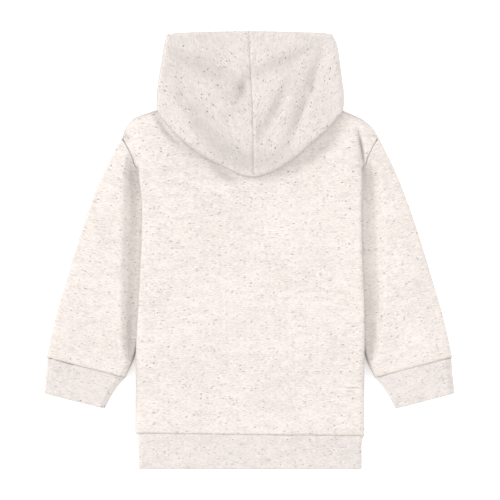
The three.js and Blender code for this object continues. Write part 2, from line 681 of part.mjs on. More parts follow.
/** The front neckline and shoulder line of a side, a seam's gap beyond their edge. */
function besideSeam(side, xs) {
  const edge = xs.map((x) => new THREE.Vector2(x, topOfFront(side * x)));
  return edge.map((point, i) => {
    const along = edge[Math.min(i + 1, edge.length - 1)].clone().sub(edge[Math.max(i - 1, 0)]).normalize();
    if (i === 0) return [point.x, point.y + SEAM_GAP];
    return [point.x - along.y * SEAM_GAP, point.y + along.x * SEAM_GAP];
  });
}

/** One half of the hood: a hollow pillow, open below at the neck and at the face. */
function hoodHalf(side) {
  const past = (x) => (x === 0 ? -side * 8 : side * x);
  const mouthXs = NECK_COLUMNS.slice(0, -1);
  const mouth = (from, to, top) => plate([
    ...mouthXs.map((x) => [past(x), backNeckY(x) + from]),
    ...[...mouthXs].reverse().map(
      (x) => [past(x), backNeckY(x) + to - (x / NECK_SIDE.x) ** 2 * NECK_MOUTH_TAPER]),
  ], -1, top);
  const plateXs = [...NECK_COLUMNS, ...spread(NECK_SIDE.x + 6, FRONT_PLATE_HALF, 3)];
  const plateEnd = NECK_BACK_Y + NECK_MOUTH_DEPTH + 1;
  const seamSide = side * (SEAM_GAP / 2);
  const frontPart = plate([
    ...besideSeam(side, plateXs).map(([x, y]) => [x === 0 ? seamSide : side * x, y]),
    ...[...plateXs].reverse().slice(0, -1).map((x) => [side * x, backNeckY(x) + NECK_MOUTH_DEPTH + 1]),
    [hoodCentreX(plateEnd) + seamSide, plateEnd],
  ], 0, CLOTH);
  const faceXs = spread(0, FACE_OPENING[FACE_OPENING.length - 1].x, 9);
  const face = plate([
    ...faceXs.map((x) => [past(x), chinY(x)]),
    ...[...faceXs].reverse().map((x) => [past(x), lipY(x)]),
  ], -1, CLOTH + 1);
  const wall = solidFrom(hoodPillow(side, 0)).subtract(solidFrom(hoodPillow(side, CLOTH)));
  const open = wall
    .subtract(mouth(-NECK_SEAM_LAP, NECK_MOUTH_DEPTH / 2, BODY_HEIGHT + 3))
    .subtract(mouth(0, NECK_MOUTH_DEPTH, BODY_HEIGHT - 2));
  return toGeometry(open.add(frontPart).subtract(face));
}

// The knit's colours: an ecru ground with grey flecks, a shade greyer on the hood and the bands
const KNIT = new THREE.MeshStandardMaterial({ color: 0xf2ebe4, roughness: 0.95, metalness: 0 });
const HOOD_KNIT = new THREE.MeshStandardMaterial({ color: 0xe7dfda, roughness: 0.95, metalness: 0 });
const BAND_KNIT = new THREE.MeshStandardMaterial({ color: 0xebe3de, roughness: 0.95, metalness: 0 });

/** A named piece of the garment. */
function piece(name, geometry, material) {
  const mesh = new THREE.Mesh(geometry, material);
  mesh.name = name;
  return mesh;
}

const hoodie = new THREE.Group();
hoodie.name = GARMENT_NAME;
hoodie.add(
  piece('back_panel', backPanel(), KNIT),
  piece('front_panel', frontPanel(), KNIT),
  piece('hem_band', hemBand(), BAND_KNIT),
);
for (const [name, side] of [['left', -1], ['right', 1]]) {
  hoodie.add(
    piece(`sleeve_${name}`, sleeve(side), KNIT),
    piece(`cuff_${name}`, cuff(side), BAND_KNIT),
    piece(`hood_${name}`, hoodHalf(side), HOOD_KNIT),
  );
}

export default hoodie;
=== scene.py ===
"""A toddler's hooded sweatshirt, laid flat on its front with its back up and its hood up.

Each piece of cloth is a thin wall on the outer form of the solid that it stands for, from the same sizes in
millimetres, with the garment's creases, puckers and sewn seams worked into it. The knit is made of nodes.
+Y runs from the hem to the top of the hood, +X to the right of someone who looks down on the back.
"""
import math

import bmesh
import bpy
import numpy as np
from bpy.props import FloatProperty, FloatVectorProperty, PointerProperty
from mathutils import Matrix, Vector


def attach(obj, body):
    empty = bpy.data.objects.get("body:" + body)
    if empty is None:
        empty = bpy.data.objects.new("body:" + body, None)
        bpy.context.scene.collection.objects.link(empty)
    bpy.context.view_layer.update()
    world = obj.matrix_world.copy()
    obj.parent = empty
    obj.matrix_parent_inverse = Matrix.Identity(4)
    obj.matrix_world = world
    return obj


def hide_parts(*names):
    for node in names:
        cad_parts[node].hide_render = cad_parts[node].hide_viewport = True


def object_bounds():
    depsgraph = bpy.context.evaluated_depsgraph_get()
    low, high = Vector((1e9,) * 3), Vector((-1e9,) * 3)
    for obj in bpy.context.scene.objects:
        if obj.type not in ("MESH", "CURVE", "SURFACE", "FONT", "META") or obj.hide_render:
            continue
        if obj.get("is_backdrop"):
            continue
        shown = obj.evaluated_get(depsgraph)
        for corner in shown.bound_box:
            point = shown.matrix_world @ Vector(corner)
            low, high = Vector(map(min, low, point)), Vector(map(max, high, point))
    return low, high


bl_info = {
    "name": "Toddler hoodie",
    "version": (1, 0, 0),
    "blender": (4, 5, 0),
    "location": "3D Viewport > Sidebar > Hoodie",
    "description": "Builds a hooded sweatshirt of flecked knit, laid flat with its back up",
    "category": "Add Mesh",
}

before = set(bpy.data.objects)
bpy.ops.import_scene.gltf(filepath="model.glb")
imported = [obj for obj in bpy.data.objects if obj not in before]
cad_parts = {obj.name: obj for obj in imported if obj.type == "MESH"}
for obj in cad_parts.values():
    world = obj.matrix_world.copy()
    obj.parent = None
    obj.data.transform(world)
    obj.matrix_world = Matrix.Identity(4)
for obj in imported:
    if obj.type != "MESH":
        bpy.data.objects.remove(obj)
CAD_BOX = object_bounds()
MM = 0.001
# The attribute that holds how dark the shade painted on the cloth is at each point.
PAINTED_SHADE_ATTRIBUTE = "painted_shade_depth"
RING_LIGHTS = 8
LEAN_TOWARDS = math.radians(140)

# Seams and lengths, as in the solids
SEAM_GAP = 0.06
HEM_EDGE_Y = -266
HEM_SEAM_Y = -224
HEM_SEAM_FALL = 1.6
HEM_TILT_ENDS_Y = -180
HEM_SEAM_HALF = 137.6
HEM_SEAM_SHARE = 0.55
HEM_FLARE = 1.4
HEM_EDGE_HALF = 136
NECK_SIDE_X = 75
TIP_X = 155.6
TIP_Y = 137.9
UNDERARM_X = 113
UNDERARM_Y = 8.5
LAST_ROW_Y = 104
SHOULDER_RISE = 70
FRONT_SPACING = 6
BACK_HALF_WIDTH = 134
SLEEVE_LENGTH = 215
BAND_LENGTH = 42
HOOD_HALF_WIDTH = 113
HOOD_LENGTH = 178
FAR_FROM_FOLD = 60

# Heights of the outer face above the surface
BODY_HEIGHT = 14
BODY_MIDDLE_HEIGHT = 12.5
SLEEVE_HEIGHT = 13.5
SLEEVE_FOLD_HEIGHT = 10
SLEEVE_WRIST_HEIGHT = 9
TUCKED_HEIGHT = 5.2
HEM_HEIGHT = 12.5
CUFF_HEIGHT = 10
HOOD_HEIGHT = 15
HOOD_ON_BACK_HEIGHT = 25.5
HOOD_SIDE_HEIGHT = 19.5
HOOD_TOP_HEIGHT = 11
HOOD_CLEARANCE = 0.4
HOOD_ROOM = 0.4
OVER_MOUTH_HEIGHT = 19
HOOD_SEAM_NOTCH = 0.7
HOOD_WALL = 1.8
RIM_SHARE = 0.2

# How the back panel folds over the tucked sleeve
FOLD_BEGINS_Y = 112
FOLD_CLOSED_Y = 88
TUCK_ENDS_Y = -118
TUCK_GONE_Y = -140
FLAP_CLEARANCE = 0.3
SHORTEST_FLAP = 2
FLAP_PAST_SLEEVE = 1.2
STEP_WIDTH = 8
ALLOWANCE = 4
ALLOWANCE_INSET = 2.2
UPPER_LAYER_FROM = 3
SHOULDER_DROP = 10.6
SHOULDER_ROLL = 10


def table(columns, *rows):
    """A short table as a dictionary of its named columns."""
    return dict(zip(columns.split(), np.array(rows, float).T))


BODY_EDGE = table(
    "y left right",
    (-224, 140, 139.2),
    (-183, 139.6, 139.2),
    (-126, 139, 139.4),
    (-101, 137.8, 139.6),
    (-61, 135.7, 139.1),
    (-21, 133.6, 137.2),
    (21, 131.8, 136.2),
    (53, 131.6, 136.0),
    (77, 133.6, 136.4),
    (101, 137.6, 137.6),
    (114, 141.5, 141.5),
)
SHOULDER_LINE = table(
    "x left right",
    (75, 183, 183),
    (92, 178.5, 178),
    (113, 170.6, 169.5),
    (125, 167, 165),
    (134.5, 163.8, 160.6),
    (142, 160, 155.6),
    (148.5, 153.2, 149.6),
    (153, 146, 143.6),
    (155.6, 137.9, 137.9),
)
BACK_NECK = table("x y", (0, 165), (30, 166.5), (55, 172), (75, 183))
FRONT_NECK = table("x y", (0, 128), (25, 131), (50, 144), (66, 163), (75, 183))
BACK_ARMHOLE = table(
    "y x",
    (8.5, 113),
    (30, 118),
    (60, 124.5),
    (80, 129),
    (88, 131.5),
    (97, 138.6),
    (104, 140),
    (112, 142.6),
    (137.9, 155.6),
)
SLEEVE_LINES = table(
    "share outer_x outer_y inner_x inner_y",
    (0, 156.2, 137.9, 113, 8.5),
    (1 / 6, 178, 93.2, 118.3, -20),
    (2 / 6, 195.4, 48.4, 123.6, -48),
    (3 / 6, 210, 3.7, 129, -76),
    (4 / 6, 223.4, -41, 134.6, -104),
    (5 / 6, 236.4, -85.8, 140.6, -130),
    (1, 246.2, -130.2, 151.6, -155),
)
SLEEVE_VALLEY = table(
    "y left right depth",
    (-175, 8, 8, 0),
    (-150, 10, 11, 0.25),
    (-128, 15, 17, 0.85),
    (-100, 20, 24, 1),
    (0, 25, 31, 1),
    (60, 24, 29, 1),
    (90, 20, 23, 1),
    (104, 14, 16, 0.75),
    (122, 8, 10, 0),
)
LEFT_SLEEVE_OUT = 1.6
VALLEY_FLAT = 0.48
VALLEY_HOLLOW = 1.2
CUFF_LINES = table(
    "share outer_x outer_y inner_x inner_y",
    (0, 245.24, -130.51, 152.24, -154.91),
    (0.25, 245.9, -142, 160.5, -164.5),
    (0.6, 247.4, -157.5, 170.2, -179.5),
    (1, 249.2, -174, 177, -192.8),
)
HOOD_SIDE = table(
    "y left right",
    (168.5, 112.6, 112.9),
    (178, 113.7, 114.9),
    (190, 113.6, 114.6),
    (206, 112.1, 112.6),
    (228, 108.5, 109.6),
    (250, 104.9, 106.2),
    (263, 101.9, 100.4),
)
HOOD_TOP = table("share y", (0, 267.4), (0.5, 266.4), (0.9, 264.8), (1, 263.2))
HOOD_LOWER = table(
    "share x left right",
    (0, 0, 88.2, 88.2),
    (0.12, 15, 91.6, 91.8),
    (0.28, 33.8, 101, 100),
    (0.42, 52.5, 110, 111),
    (0.57, 71, 121.8, 126),
    (0.73, 89.8, 137.4, 142),
    (0.87, 103, 153, 155.6),
    (1, 112.6, 168.5, 168.5),
)
HOOD_CENTRE = table(
    "y x", (88, 4.1), (134, 3.7), (171, 3), (205, 1.2), (220, 0.5), (266, -1.4)
)
FACE_OPENING = table(
    "x chin lip", (0, 133, 166), (30, 142, 170), (52, 158, 177), (66, 178, 184)
)

# Folds: a soft trough, or a ridge where the depth is negative, along a line bent towards a middle point
FOLD_COLUMNS = "from_x from_y bend_x bend_y to_x to_y depth width"
HOOD_FOLDS = table(
    FOLD_COLUMNS,
    (-7, 205, -8.5, 196, -11, 186, 6, 5.5),
    (-9, 204, -13, 192, -17, 178, 3.6, 11),
    (-21, 212, -57, 215, -97, 250, 5.5, 9),
    (0, 211, 42, 223.5, 80, 250, 5.5, 9),
    (86, 238, 63, 174, 46, 129, 3.2, 9),
    (88, 238, 66.5, 174, 50, 128, 3, 3.4),
    (48, 213, 33, 166, 11, 134, 4.4, 7),
    (-85, 204, -72, 162, -10, 102, 5.2, 12),
    (-84, 194, -83, 188, -80, 180, 2, 5),
    (-37, 171, -16, 173, 3, 169, -2, 4),
    (8, 164, 7, 153, 4.5, 142, -2.2, 2.6),
    (-98, 168, -70, 146, -40, 116, -1.6, 7),
)
# Painted shade on the hood: darkness along its folds, over its lower tip and in a thin line along its top
# edge. The depth is how dark it is painted.
HOOD_PAINTED_SHADES = table(
    FOLD_COLUMNS,
    (-12, 208, -57, 218, -100, 250, 0.65, 12),
    (0, 213, 42, 226, 80, 250, 0.6, 10),
    (-7, 206, -10, 193, -14, 180, 0.5, 9),
    (84, 240, 60, 175, 43, 130, 0.7, 8),
    (46, 213, 32, 168, 10, 136, 0.6, 8),
    (-88, 206, -70, 164, -14, 108, 0.65, 17),
    (-50, 196, -30, 190, -10, 170, 0.45, 16),
    (-44, 124, 8, 92, 56, 122, 0.65, 15),
    (-101, 263.5, 0, 270, 101, 263.5, 0.6, 2),
)
# Painted shade and shadow on the back: the shadow beside the hood's hanging edge, the crease at the right
# armhole, and lines along the shoulders and the left side below the sleeve. The depth is how dark it is
# painted.
BACK_PAINTED_SHADES = table(
    FOLD_COLUMNS,
    (118, 158, 88, 113, 22, 82, 0.55, 10),
    (-113, 164, -103, 142, -88, 131, 0.5, 4),
    (-86, 130, -62, 104, -36, 97, 0.3, 9),
    (-14, 85, -27, 87, -44, 101, 0.8, 8),
    (131, 147, 136, 130, 139, 104, 0.9, 2.6),
    (-96, 178, -146, 172, -154, 140, 0.6, 3),
    (96, 178, 146, 170, 154, 140, 0.45, 3),
    (-137, -100, -138.5, -165, -139.3, -224, 0.6, 3.5),
)
# Painted shade on the sleeves: the valleys beside the body, a dark line along each inner fold above the cuff,
# and lines along the outer folds. The depth is how dark it is painted.
SLEEVE_PAINTED_SHADES = table(
    FOLD_COLUMNS,
    (-149, 116, -139, 60, -138, 0, 0.45, 7),
    (-138, 0, -141, -70, -146, -128, 0.45, 7),
    (151, 112, 145, 60, 144, 0, 0.25, 8),
    (144, 0, 146, -70, 148, -128, 0.25, 8),
    (-138, -112, -140, -131, -151, -154, 1.8, 2.4),
    (138, -112, 140, -131, 151, -154, 1.8, 2.4),
    (-157, 136, -218, 4.4, -247, -130, 0.45, 3),
    (157, 136, 218, 4.4, 247, -130, 0.4, 3),
)
BACK_FOLDS = table(
    FOLD_COLUMNS,
    (131, 147, 136, 130, 139, 104, 5.5, 2.8),
    (128, 146, 132, 130, 135, 102, 2.6, 5.5),
    (118, 160, 88, 114, 22, 84, 4, 10),
    (-114, 164, -104, 142, -86, 130, 3.2, 3.6),
    (-16, 86, -27, 88, -42, 100, 3.2, 6),
    (-92, -196, -20, -188, 60, -204, 0.8, 16),
    (70, 60, 30, 20, -30, 8, 0.8, 20),
)
SLEEVE_FOLDS = table(
    FOLD_COLUMNS,
    (-216, -108, -190, -96, -168, -122, 1.4, 9),
    (216, -104, 196, -92, 172, -122, 1.6, 9),
    (-186, 66, -176, 40, -168, 10, 1, 10),
)


def mix(start, end, share):
    """The number a share of the way from a start to an end."""
    return start + (end - start) * share


def smooth(value, low, high):
    """0 up to low, 1 from high, and a soft step between them."""
    t = np.clip((np.asarray(value, float) - low) / (high - low), 0, 1)
    return t * t * (3 - 2 * t)


def through(rows, source, target):
    """A smooth curve through a table, with no overshoot: one named column as a function of another."""
    order = np.argsort(rows[source])
    x, y = rows[source][order], rows[target][order]
    slope = np.diff(y) / np.diff(x)
    total = slope[:-1] + slope[1:]
    product = slope[:-1] * slope[1:]
    middle = np.where(product > 0, 2 * product / np.where(product > 0, total, 1), 0)
    tangent = np.concatenate([slope[:1], middle, slope[-1:]])

    def read(at):
        at = np.clip(at, x[0], x[-1])
        i = np.clip(np.searchsorted(x, at, side="right") - 1, 0, len(x) - 2)
        width = x[i + 1] - x[i]
        t = (at - x[i]) / width
        rest = 1 - t
        ends = y[i] * (1 + 2 * t) * rest**2 + y[i + 1] * t**2 * (3 - 2 * t)
        return ends + width * t * rest * (tangent[i] * rest - tangent[i + 1] * t)

    return read


def both_sides(rows, source):
    """The curves of a table's left and right columns, read by side: -1 or 1."""
    return {-1: through(rows, source, "left"), 1: through(rows, source, "right")}


body_edge = both_sides(BODY_EDGE, "y")
shoulder_y = both_sides(SHOULDER_LINE, "x")
valley_width = both_sides(SLEEVE_VALLEY, "y")
hood_side = both_sides(HOOD_SIDE, "y")
valley_depth = through(SLEEVE_VALLEY, "y", "depth")
back_neck_y = through(BACK_NECK, "x", "y")
front_neck_y = through(FRONT_NECK, "x", "y")
back_armhole_x = through(BACK_ARMHOLE, "y", "x")
underarm_x = through(SLEEVE_LINES, "inner_y", "inner_x")
hood_top_y = through(HOOD_TOP, "share", "y")
hood_lower_x = through(HOOD_LOWER, "share", "x")
hood_lower_y = both_sides(HOOD_LOWER, "share")
hood_centre_x = through(HOOD_CENTRE, "y", "x")
chin_y = through(FACE_OPENING, "x", "chin")
lip_y = through(FACE_OPENING, "x", "lip")


def top_of(neck_y, x):
    """The panel's top edge at a place: its neckline, or its shoulder line beyond that."""
    shoulder = np.where(x < 0, shoulder_y[-1](abs(x)), shoulder_y[1](abs(x)))
    return np.where(abs(x) > NECK_SIDE_X, shoulder, neck_y(abs(x)))


def top_of_back(x):
    return top_of(back_neck_y, x)


def top_of_front(x):
    return top_of(front_neck_y, x)


def band_top(across, width):
    """Height of the hem band's top at a place across it."""
    return HEM_HEIGHT - 1.5 + 0.9 * np.sin(math.pi * across / width)


def hem_tilt(x, y):
    """How far the hem's seam lies off its level: it falls a little to the right."""
    fade = 1 - smooth(y, HEM_SEAM_Y, HEM_TILT_ENDS_Y)
    return -HEM_SEAM_FALL * x / body_edge[1](HEM_SEAM_Y) * fade


def fold_depth(folds, x, y):
    """How deep the folds of a table are at each place."""
    depth = np.zeros(np.broadcast(x, y).shape)
    for i in range(len(folds["depth"])):
        row = {name: values[i] for name, values in folds.items()}
        nearest = np.full(depth.shape, np.inf)
        share = np.zeros(depth.shape)
        for t in np.linspace(0, 1, 33):
            weights = ((1 - t) ** 2, 2 * t * (1 - t), t**2)
            line_x = sum(w * row[f"{end}_x"] for w, end in zip(weights, ("from", "bend", "to")))
            line_y = sum(w * row[f"{end}_y"] for w, end in zip(weights, ("from", "bend", "to")))
            distance = np.hypot(x - line_x, y - line_y)
            share = np.where(distance < nearest, t, share)
            nearest = np.minimum(nearest, distance)
        ends = 0.45 + 0.55 * np.sin(math.pi * share)
        depth = depth + row["depth"] * ends * np.exp(-((nearest / row["width"]) ** 2))
    return depth


def hills(x, y, size, seed):
    """Soft uneven hills about one size apart, from -1 to 1."""
    lattice = np.random.default_rng(seed).uniform(-1, 1, (97, 97))
    u, v = np.asarray(x) / size + 48, np.asarray(y) / size + 48
    i, j = np.floor(u).astype(int), np.floor(v).astype(int)
    s, t = smooth(u - i, 0, 1), smooth(v - j, 0, 1)
    low = mix(lattice[i % 97, j % 97], lattice[(i + 1) % 97, j % 97], s)
    high = mix(lattice[i % 97, (j + 1) % 97], lattice[(i + 1) % 97, (j + 1) % 97], s)
    return mix(low, high, t)


def seam_dip(distance, sizes):
    """How far the cloth is drawn in beside a seam, at each distance from it in millimetres."""
    return sizes.seam_dip / MM * np.exp(-((distance * MM / sizes.seam_width) ** 2))


def steps(first, last, spacing):
    """Evenly spread numbers from a first to a last one, about a spacing apart."""
    return np.linspace(first, last, max(2, round(abs(last - first) / spacing) + 1))


def flap_height(y):
    """How far the back's flap stands off the surface, above the tucked sleeve."""
    return (TUCKED_HEIGHT + FLAP_CLEARANCE) * smooth(y, TUCK_GONE_Y, TUCK_ENDS_Y)


class SideRoll:
    """The roll at one side of the back panel: where it begins, how long it is and how far it turns."""

    def __init__(self, side, y, end_x):
        radius = (BODY_HEIGHT - flap_height(y)) / 2
        closed = 1 - smooth(y, FOLD_CLOSED_Y, FOLD_BEGINS_Y)
        folded_start = body_edge[side](y) - radius
        covered = underarm_x(y) - FLAP_PAST_SLEEVE
        inside = np.where(y > UNDERARM_Y, back_armhole_x(y), covered)
        self.length = math.pi * radius
        self.flap = np.maximum(SHORTEST_FLAP, mix(SHORTEST_FLAP, folded_start - inside, closed))
        self.start = mix(end_x - self.length - self.flap, folded_start, closed)
        self.turn = math.pi * closed

    def point(self, along):
        """Where the cloth is at a length along the roll: its distance from the centre and its drop."""
        bent = np.minimum(along, self.length)
        straight = along - bent
        turn = np.maximum(self.turn, 1e-4)
        angle = turn * bent / self.length
        radius = self.length / turn
        x = self.start + radius * np.sin(angle) + straight * np.cos(angle)
        return x, radius * (1 - np.cos(angle)) + straight * np.sin(angle)


def seam_on_back(side, y):
    """Where the back panel ends above its underarm: the armhole seam, also where the roll opens out."""
    roll = SideRoll(side, y, back_armhole_x(y) - SEAM_GAP)
    return roll.point(roll.length + roll.flap)[0]


def roll_start(side, y):
    """Where the side roll begins, as far up as it is closed."""
    return SideRoll(side, np.minimum(y, FOLD_CLOSED_Y), 0).start


def back_height(x, y):
    """Height of the back's outer face. It sinks a little in the middle and rolls down at the shoulders."""
    start = np.where(x < 0, roll_start(-1, y), roll_start(1, y))
    middle = smooth(start - abs(x), 0, 60) * (1 - smooth(y, 50, 85))
    sag = (BODY_HEIGHT - BODY_MIDDLE_HEIGHT) * middle
    shoulder = smooth(abs(x), NECK_SIDE_X - 5, NECK_SIDE_X + 9)
    to_edge = np.clip((top_of_back(x) - y) / SHOULDER_ROLL, 0, 1)
    from_fold = np.where(y > FOLD_CLOSED_Y, 1, smooth(start - abs(x), -2, 14))
    creases = fold_depth(BACK_FOLDS, x, y) * from_fold
    return BODY_HEIGHT - sag - creases - SHOULDER_DROP * shoulder * (1 - to_edge) ** 2


def back_softness(x, y):
    """The loose lie of the back: broad shallow hollows, and small puckers above the hem's seam."""
    start = np.where(x < 0, roll_start(-1, y), roll_start(1, y))
    inside = smooth(start - abs(x), 0, 30)
    hollows = 0.55 + 0.45 * hills(x, y, 58, 3) + 0.25 * hills(x, y, 23, 4)
    puckers = hills(x, 7, 7, 5) * np.exp(-(y - HEM_SEAM_Y) / 9)
    return inside * (0.9 * np.clip(hollows, 0, 2) + 0.35 * puckers)


def sleeve_height(side, x, y, from_fold):
    """Height of a sleeve's upper layer: a crown that sinks into the valley beside the body."""
    crown = mix(SLEEVE_FOLD_HEIGHT, SLEEVE_HEIGHT, smooth(from_fold, 0, 28))
    wrist = mix(crown, SLEEVE_WRIST_HEIGHT + 1.5, smooth(-y, 105, 155) * 0.6)
    beyond = side * x - body_edge[side](y)
    sunk = valley_depth(y) * (1 - smooth(beyond / valley_width[side](y), VALLEY_FLAT, 1))
    hollow = VALLEY_HOLLOW * sunk * smooth(beyond, 1, 8)
    return mix(wrist - fold_depth(SLEEVE_FOLDS, x, y), TUCKED_HEIGHT, sunk) - hollow


def sleeve_head_height(side, y):
    """Height of the sleeve's seam with the back, up to the shoulder tip."""
    rise = TIP_Y - UNDERARM_Y
    from_fold = np.maximum(0, (TIP_Y - y) * math.hypot(TIP_X - UNDERARM_X, rise) / rise)
    seam_x = side * back_armhole_x(y)
    lowest = sleeve_height(side, seam_x, y, FAR_FROM_FOLD)
    radius = SLEEVE_FOLD_HEIGHT / 2
    on_arc = radius + np.sqrt(radius**2 - (radius - np.minimum(from_fold, radius)) ** 2)
    crown = sleeve_height(side, seam_x, y, from_fold)
    return np.minimum(np.where(from_fold < radius, on_arc, crown), lowest)


def back_half(side, y, share, sizes):
    """Half of the back panel, row by row, from the centre out to the end of its flap."""
    end_y = mix(y, TIP_Y, share)
    roll = SideRoll(side, end_y, back_armhole_x(end_y) - SEAM_GAP)
    widen = TIP_X / seam_on_back(side, end_y)
    top = roll.start * steps(0, 1, sizes.spacing / MM / BACK_HALF_WIDTH)[:-1]
    rolled = roll.length * np.linspace(0, 1, 13)
    flat = roll.length + roll.flap * np.linspace(0, 1, 9)[1:]
    along = np.concatenate([rolled, flat], axis=1)
    x, drop = roll.point(along)
    height_x = mix(np.minimum(x, TIP_X), roll.start, roll.turn / math.pi)
    x = np.concatenate([top, x], axis=1)
    cloth_end = roll.length + roll.flap
    to_armhole = np.concatenate([cloth_end + roll.start - top, cloth_end - along], axis=1)
    height_x = np.concatenate([top, height_x], axis=1)
    drop = np.concatenate([np.zeros_like(top), drop], axis=1)
    row_y = mix(y, top_of_back(side * x * widen), share)
    armhole = seam_dip(to_armhole, sizes) * smooth(row_y, 92, 112)
    z = back_height(side * height_x, row_y) - drop
    z = z - back_softness(side * height_x, row_y) * (drop < 1)
    across_band = np.clip(HEM_SEAM_HALF + side * x, 0, 2 * HEM_SEAM_HALF)
    near_band = 1 - smooth(row_y - HEM_SEAM_Y, 0, 12)
    on_top = smooth(roll.start - x, 0, 20)
    z = mix(z, band_top(across_band, 2 * HEM_SEAM_HALF), (drop < 0.5) * near_band * on_top)
    z = z * mix(1, (HEM_HEIGHT - 1.2) / BODY_HEIGHT, near_band * (1 - on_top))
    reach = mix(5, 16, smooth(row_y, 98, 113))
    beside_sleeve = (1 - smooth(to_armhole / reach, 0, 1)) * smooth(row_y, 86, 96)
    crease = fold_depth(BACK_FOLDS, side * x, row_y) * smooth(to_armhole, 0, 5)
    z = mix(z, sleeve_head_height(side, row_y) - crease, beside_sleeve)
    z = z - HEM_SEAM_SHARE * seam_dip(row_y - HEM_SEAM_Y, sizes) * (drop < 4) - armhole
    return np.stack([side * x, row_y + hem_tilt(side * x, row_y), z], axis=-1)


def panel_rows(level, bent):
    """The rows of a panel: level ones by their y, then some that bend by a share to its top edge."""
    share = np.concatenate([np.zeros(len(level)), bent[1:]])
    y = np.concatenate([level, np.full(len(bent) - 1, LAST_ROW_Y)])
    return y[:, None], share[:, None]


def back_grid(sizes):
    """The back panel's outer face, from its left seam to its right seam."""
    spacing = sizes.spacing / MM
    rows = panel_rows(steps(HEM_SEAM_Y, LAST_ROW_Y, spacing), steps(0, 1, spacing / SHOULDER_RISE))
    left, right = (back_half(side, *rows, sizes) for side in (-1, 1))
    return np.concatenate([left[:, ::-1], right[:, 1:]], axis=1)


def lower_armhole_x(y):
    """The straight armhole seam of the lower layers, from the underarm to the shoulder tip."""
    share = np.clip((y - UNDERARM_Y) / (TIP_Y - UNDERARM_Y), 0, 1)
    return mix(UNDERARM_X, TIP_X, share)


def front_edge(side, y):
    """Where the front panel ends at a side: at the back's flap, or at the sleeve's lower layer."""
    roll = SideRoll(side, y, 0)
    flap_end, _ = roll.point(roll.length + roll.flap)
    return np.where(y > UNDERARM_Y, lower_armhole_x(y), flap_end) - SEAM_GAP


def front_half(side, y, share):
    """Half of the front panel, row by row. Below the armhole its edge steps up to meet the flap."""
    end_y = mix(y, TIP_Y, share)
    edge = front_edge(side, end_y)
    step_up = flap_height(end_y) * (1 - smooth(end_y, -8, 0))
    neck = np.linspace(0, NECK_SIDE_X, 24) + np.zeros_like(y)
    side_part = mix(NECK_SIDE_X, edge - STEP_WIDTH, np.array([[0.33, 0.67]]))
    rise = np.linspace(0, 1, 7)[None]
    x = np.concatenate([neck, side_part, edge - STEP_WIDTH * (1 - rise)], axis=1)
    lifted = step_up * smooth(rise, 0, 1)
    z = np.concatenate([np.zeros((len(y), x.shape[1] - rise.size)), lifted], axis=1)
    row_y = mix(y, top_of_front(side * x * TIP_X / lower_armhole_x(end_y)), share)
    return np.stack([side * x, row_y + hem_tilt(side * x, row_y), z], axis=-1)


def front_grid():
    """The front panel's outer face, which faces down."""
    rows = panel_rows(steps(HEM_SEAM_Y, LAST_ROW_Y, FRONT_SPACING), np.linspace(0, 1, 14))
    right, left = (front_half(side, *rows) for side in (1, -1))
    return np.concatenate([right[:, ::-1], left[:, 1:]], axis=1)


def flat_rings(outer, inner, outer_height, inner_height, top, spacing):
    """Rings of a flattened tube, each across a line from its outer fold to its inner fold.

    Returns the points, and which of a ring's points lie on its upper layer.
    """
    width = np.hypot(*(inner - outer).T)[:, None]
    outer_radius = outer_height / 2
    inner_radius = inner_height / 2
    count = round(float(width.max()) / spacing)

    def arc(middle, radius, start, end):
        angle = np.linspace(start, end, 11)[None]
        return middle + radius * np.cos(angle), radius + radius * np.sin(angle)

    floor = mix(width - inner_radius, outer_radius, np.linspace(0, 1, count // 3)[None, 1:-1])
    outer_across, outer_z = arc(outer_radius, outer_radius, -math.pi / 2, -1.5 * math.pi)
    top_across = mix(outer_radius, width - inner_radius, np.linspace(0, 1, count)[None, 1:-1])
    inner_across, inner_z = arc(width - inner_radius, inner_radius, math.pi / 2, -math.pi / 2)
    across = np.concatenate([floor, outer_across, top_across, inner_across], axis=1)
    place = mix(outer[:, None], inner[:, None], (across / width)[..., None])
    first_top = floor.shape[1] + outer_across.shape[1]
    on_top = slice(first_top, first_top + top_across.shape[1])
    z = np.concatenate([np.zeros_like(floor), outer_z, np.zeros_like(top_across), inner_z], axis=1)
    z[:, on_top] = top(place[:, on_top, 0], place[:, on_top, 1], top_across, width)
    return np.concatenate([place, z[..., None]], axis=-1), on_top


def with_allowance(rings, shift):
    """Rings with a seam allowance before the first one: it turns in by a wall and runs on by a shift."""
    first = rings[0]
    middle = first.mean(axis=0)
    along = first[np.argmax(np.hypot(*(first - middle)[:, :2].T))] - middle
    axis = np.array([-along[1], along[0], 0])
    tangent = np.roll(first, -1, axis=0) - np.roll(first, 1, axis=0)
    inward = np.cross(axis, tangent)
    inward = inward / np.linalg.norm(inward, axis=1)[:, None]
    inward = inward * np.sign(np.sum(inward * (middle - first)))
    drawn_in = first + inward * ALLOWANCE_INSET
    return np.concatenate([(drawn_in + np.array(shift))[None], drawn_in[None], rings])


def draw_in(rings, distance, sizes, share=1):
    """Draws a tube's upper layer in beside its seam."""
    rings[..., 2] -= share * seam_dip(distance, sizes) * (rings[..., 2] > UPPER_LAYER_FROM)


def lines_across(rows, side, share, ramp):
    """The points of a tube's outer and inner fold at shares of its length. The left ones lie further out."""
    outer_x = through(rows, "share", "outer_x")(share) + LEFT_SLEEVE_OUT * (side < 0) * ramp
    outer = [side * outer_x, through(rows, "share", "outer_y")(share)]
    inner = [side * through(rows, "share", "inner_x")(share), through(rows, "share", "inner_y")(share)]
    return np.stack(outer, axis=-1), np.stack(inner, axis=-1)


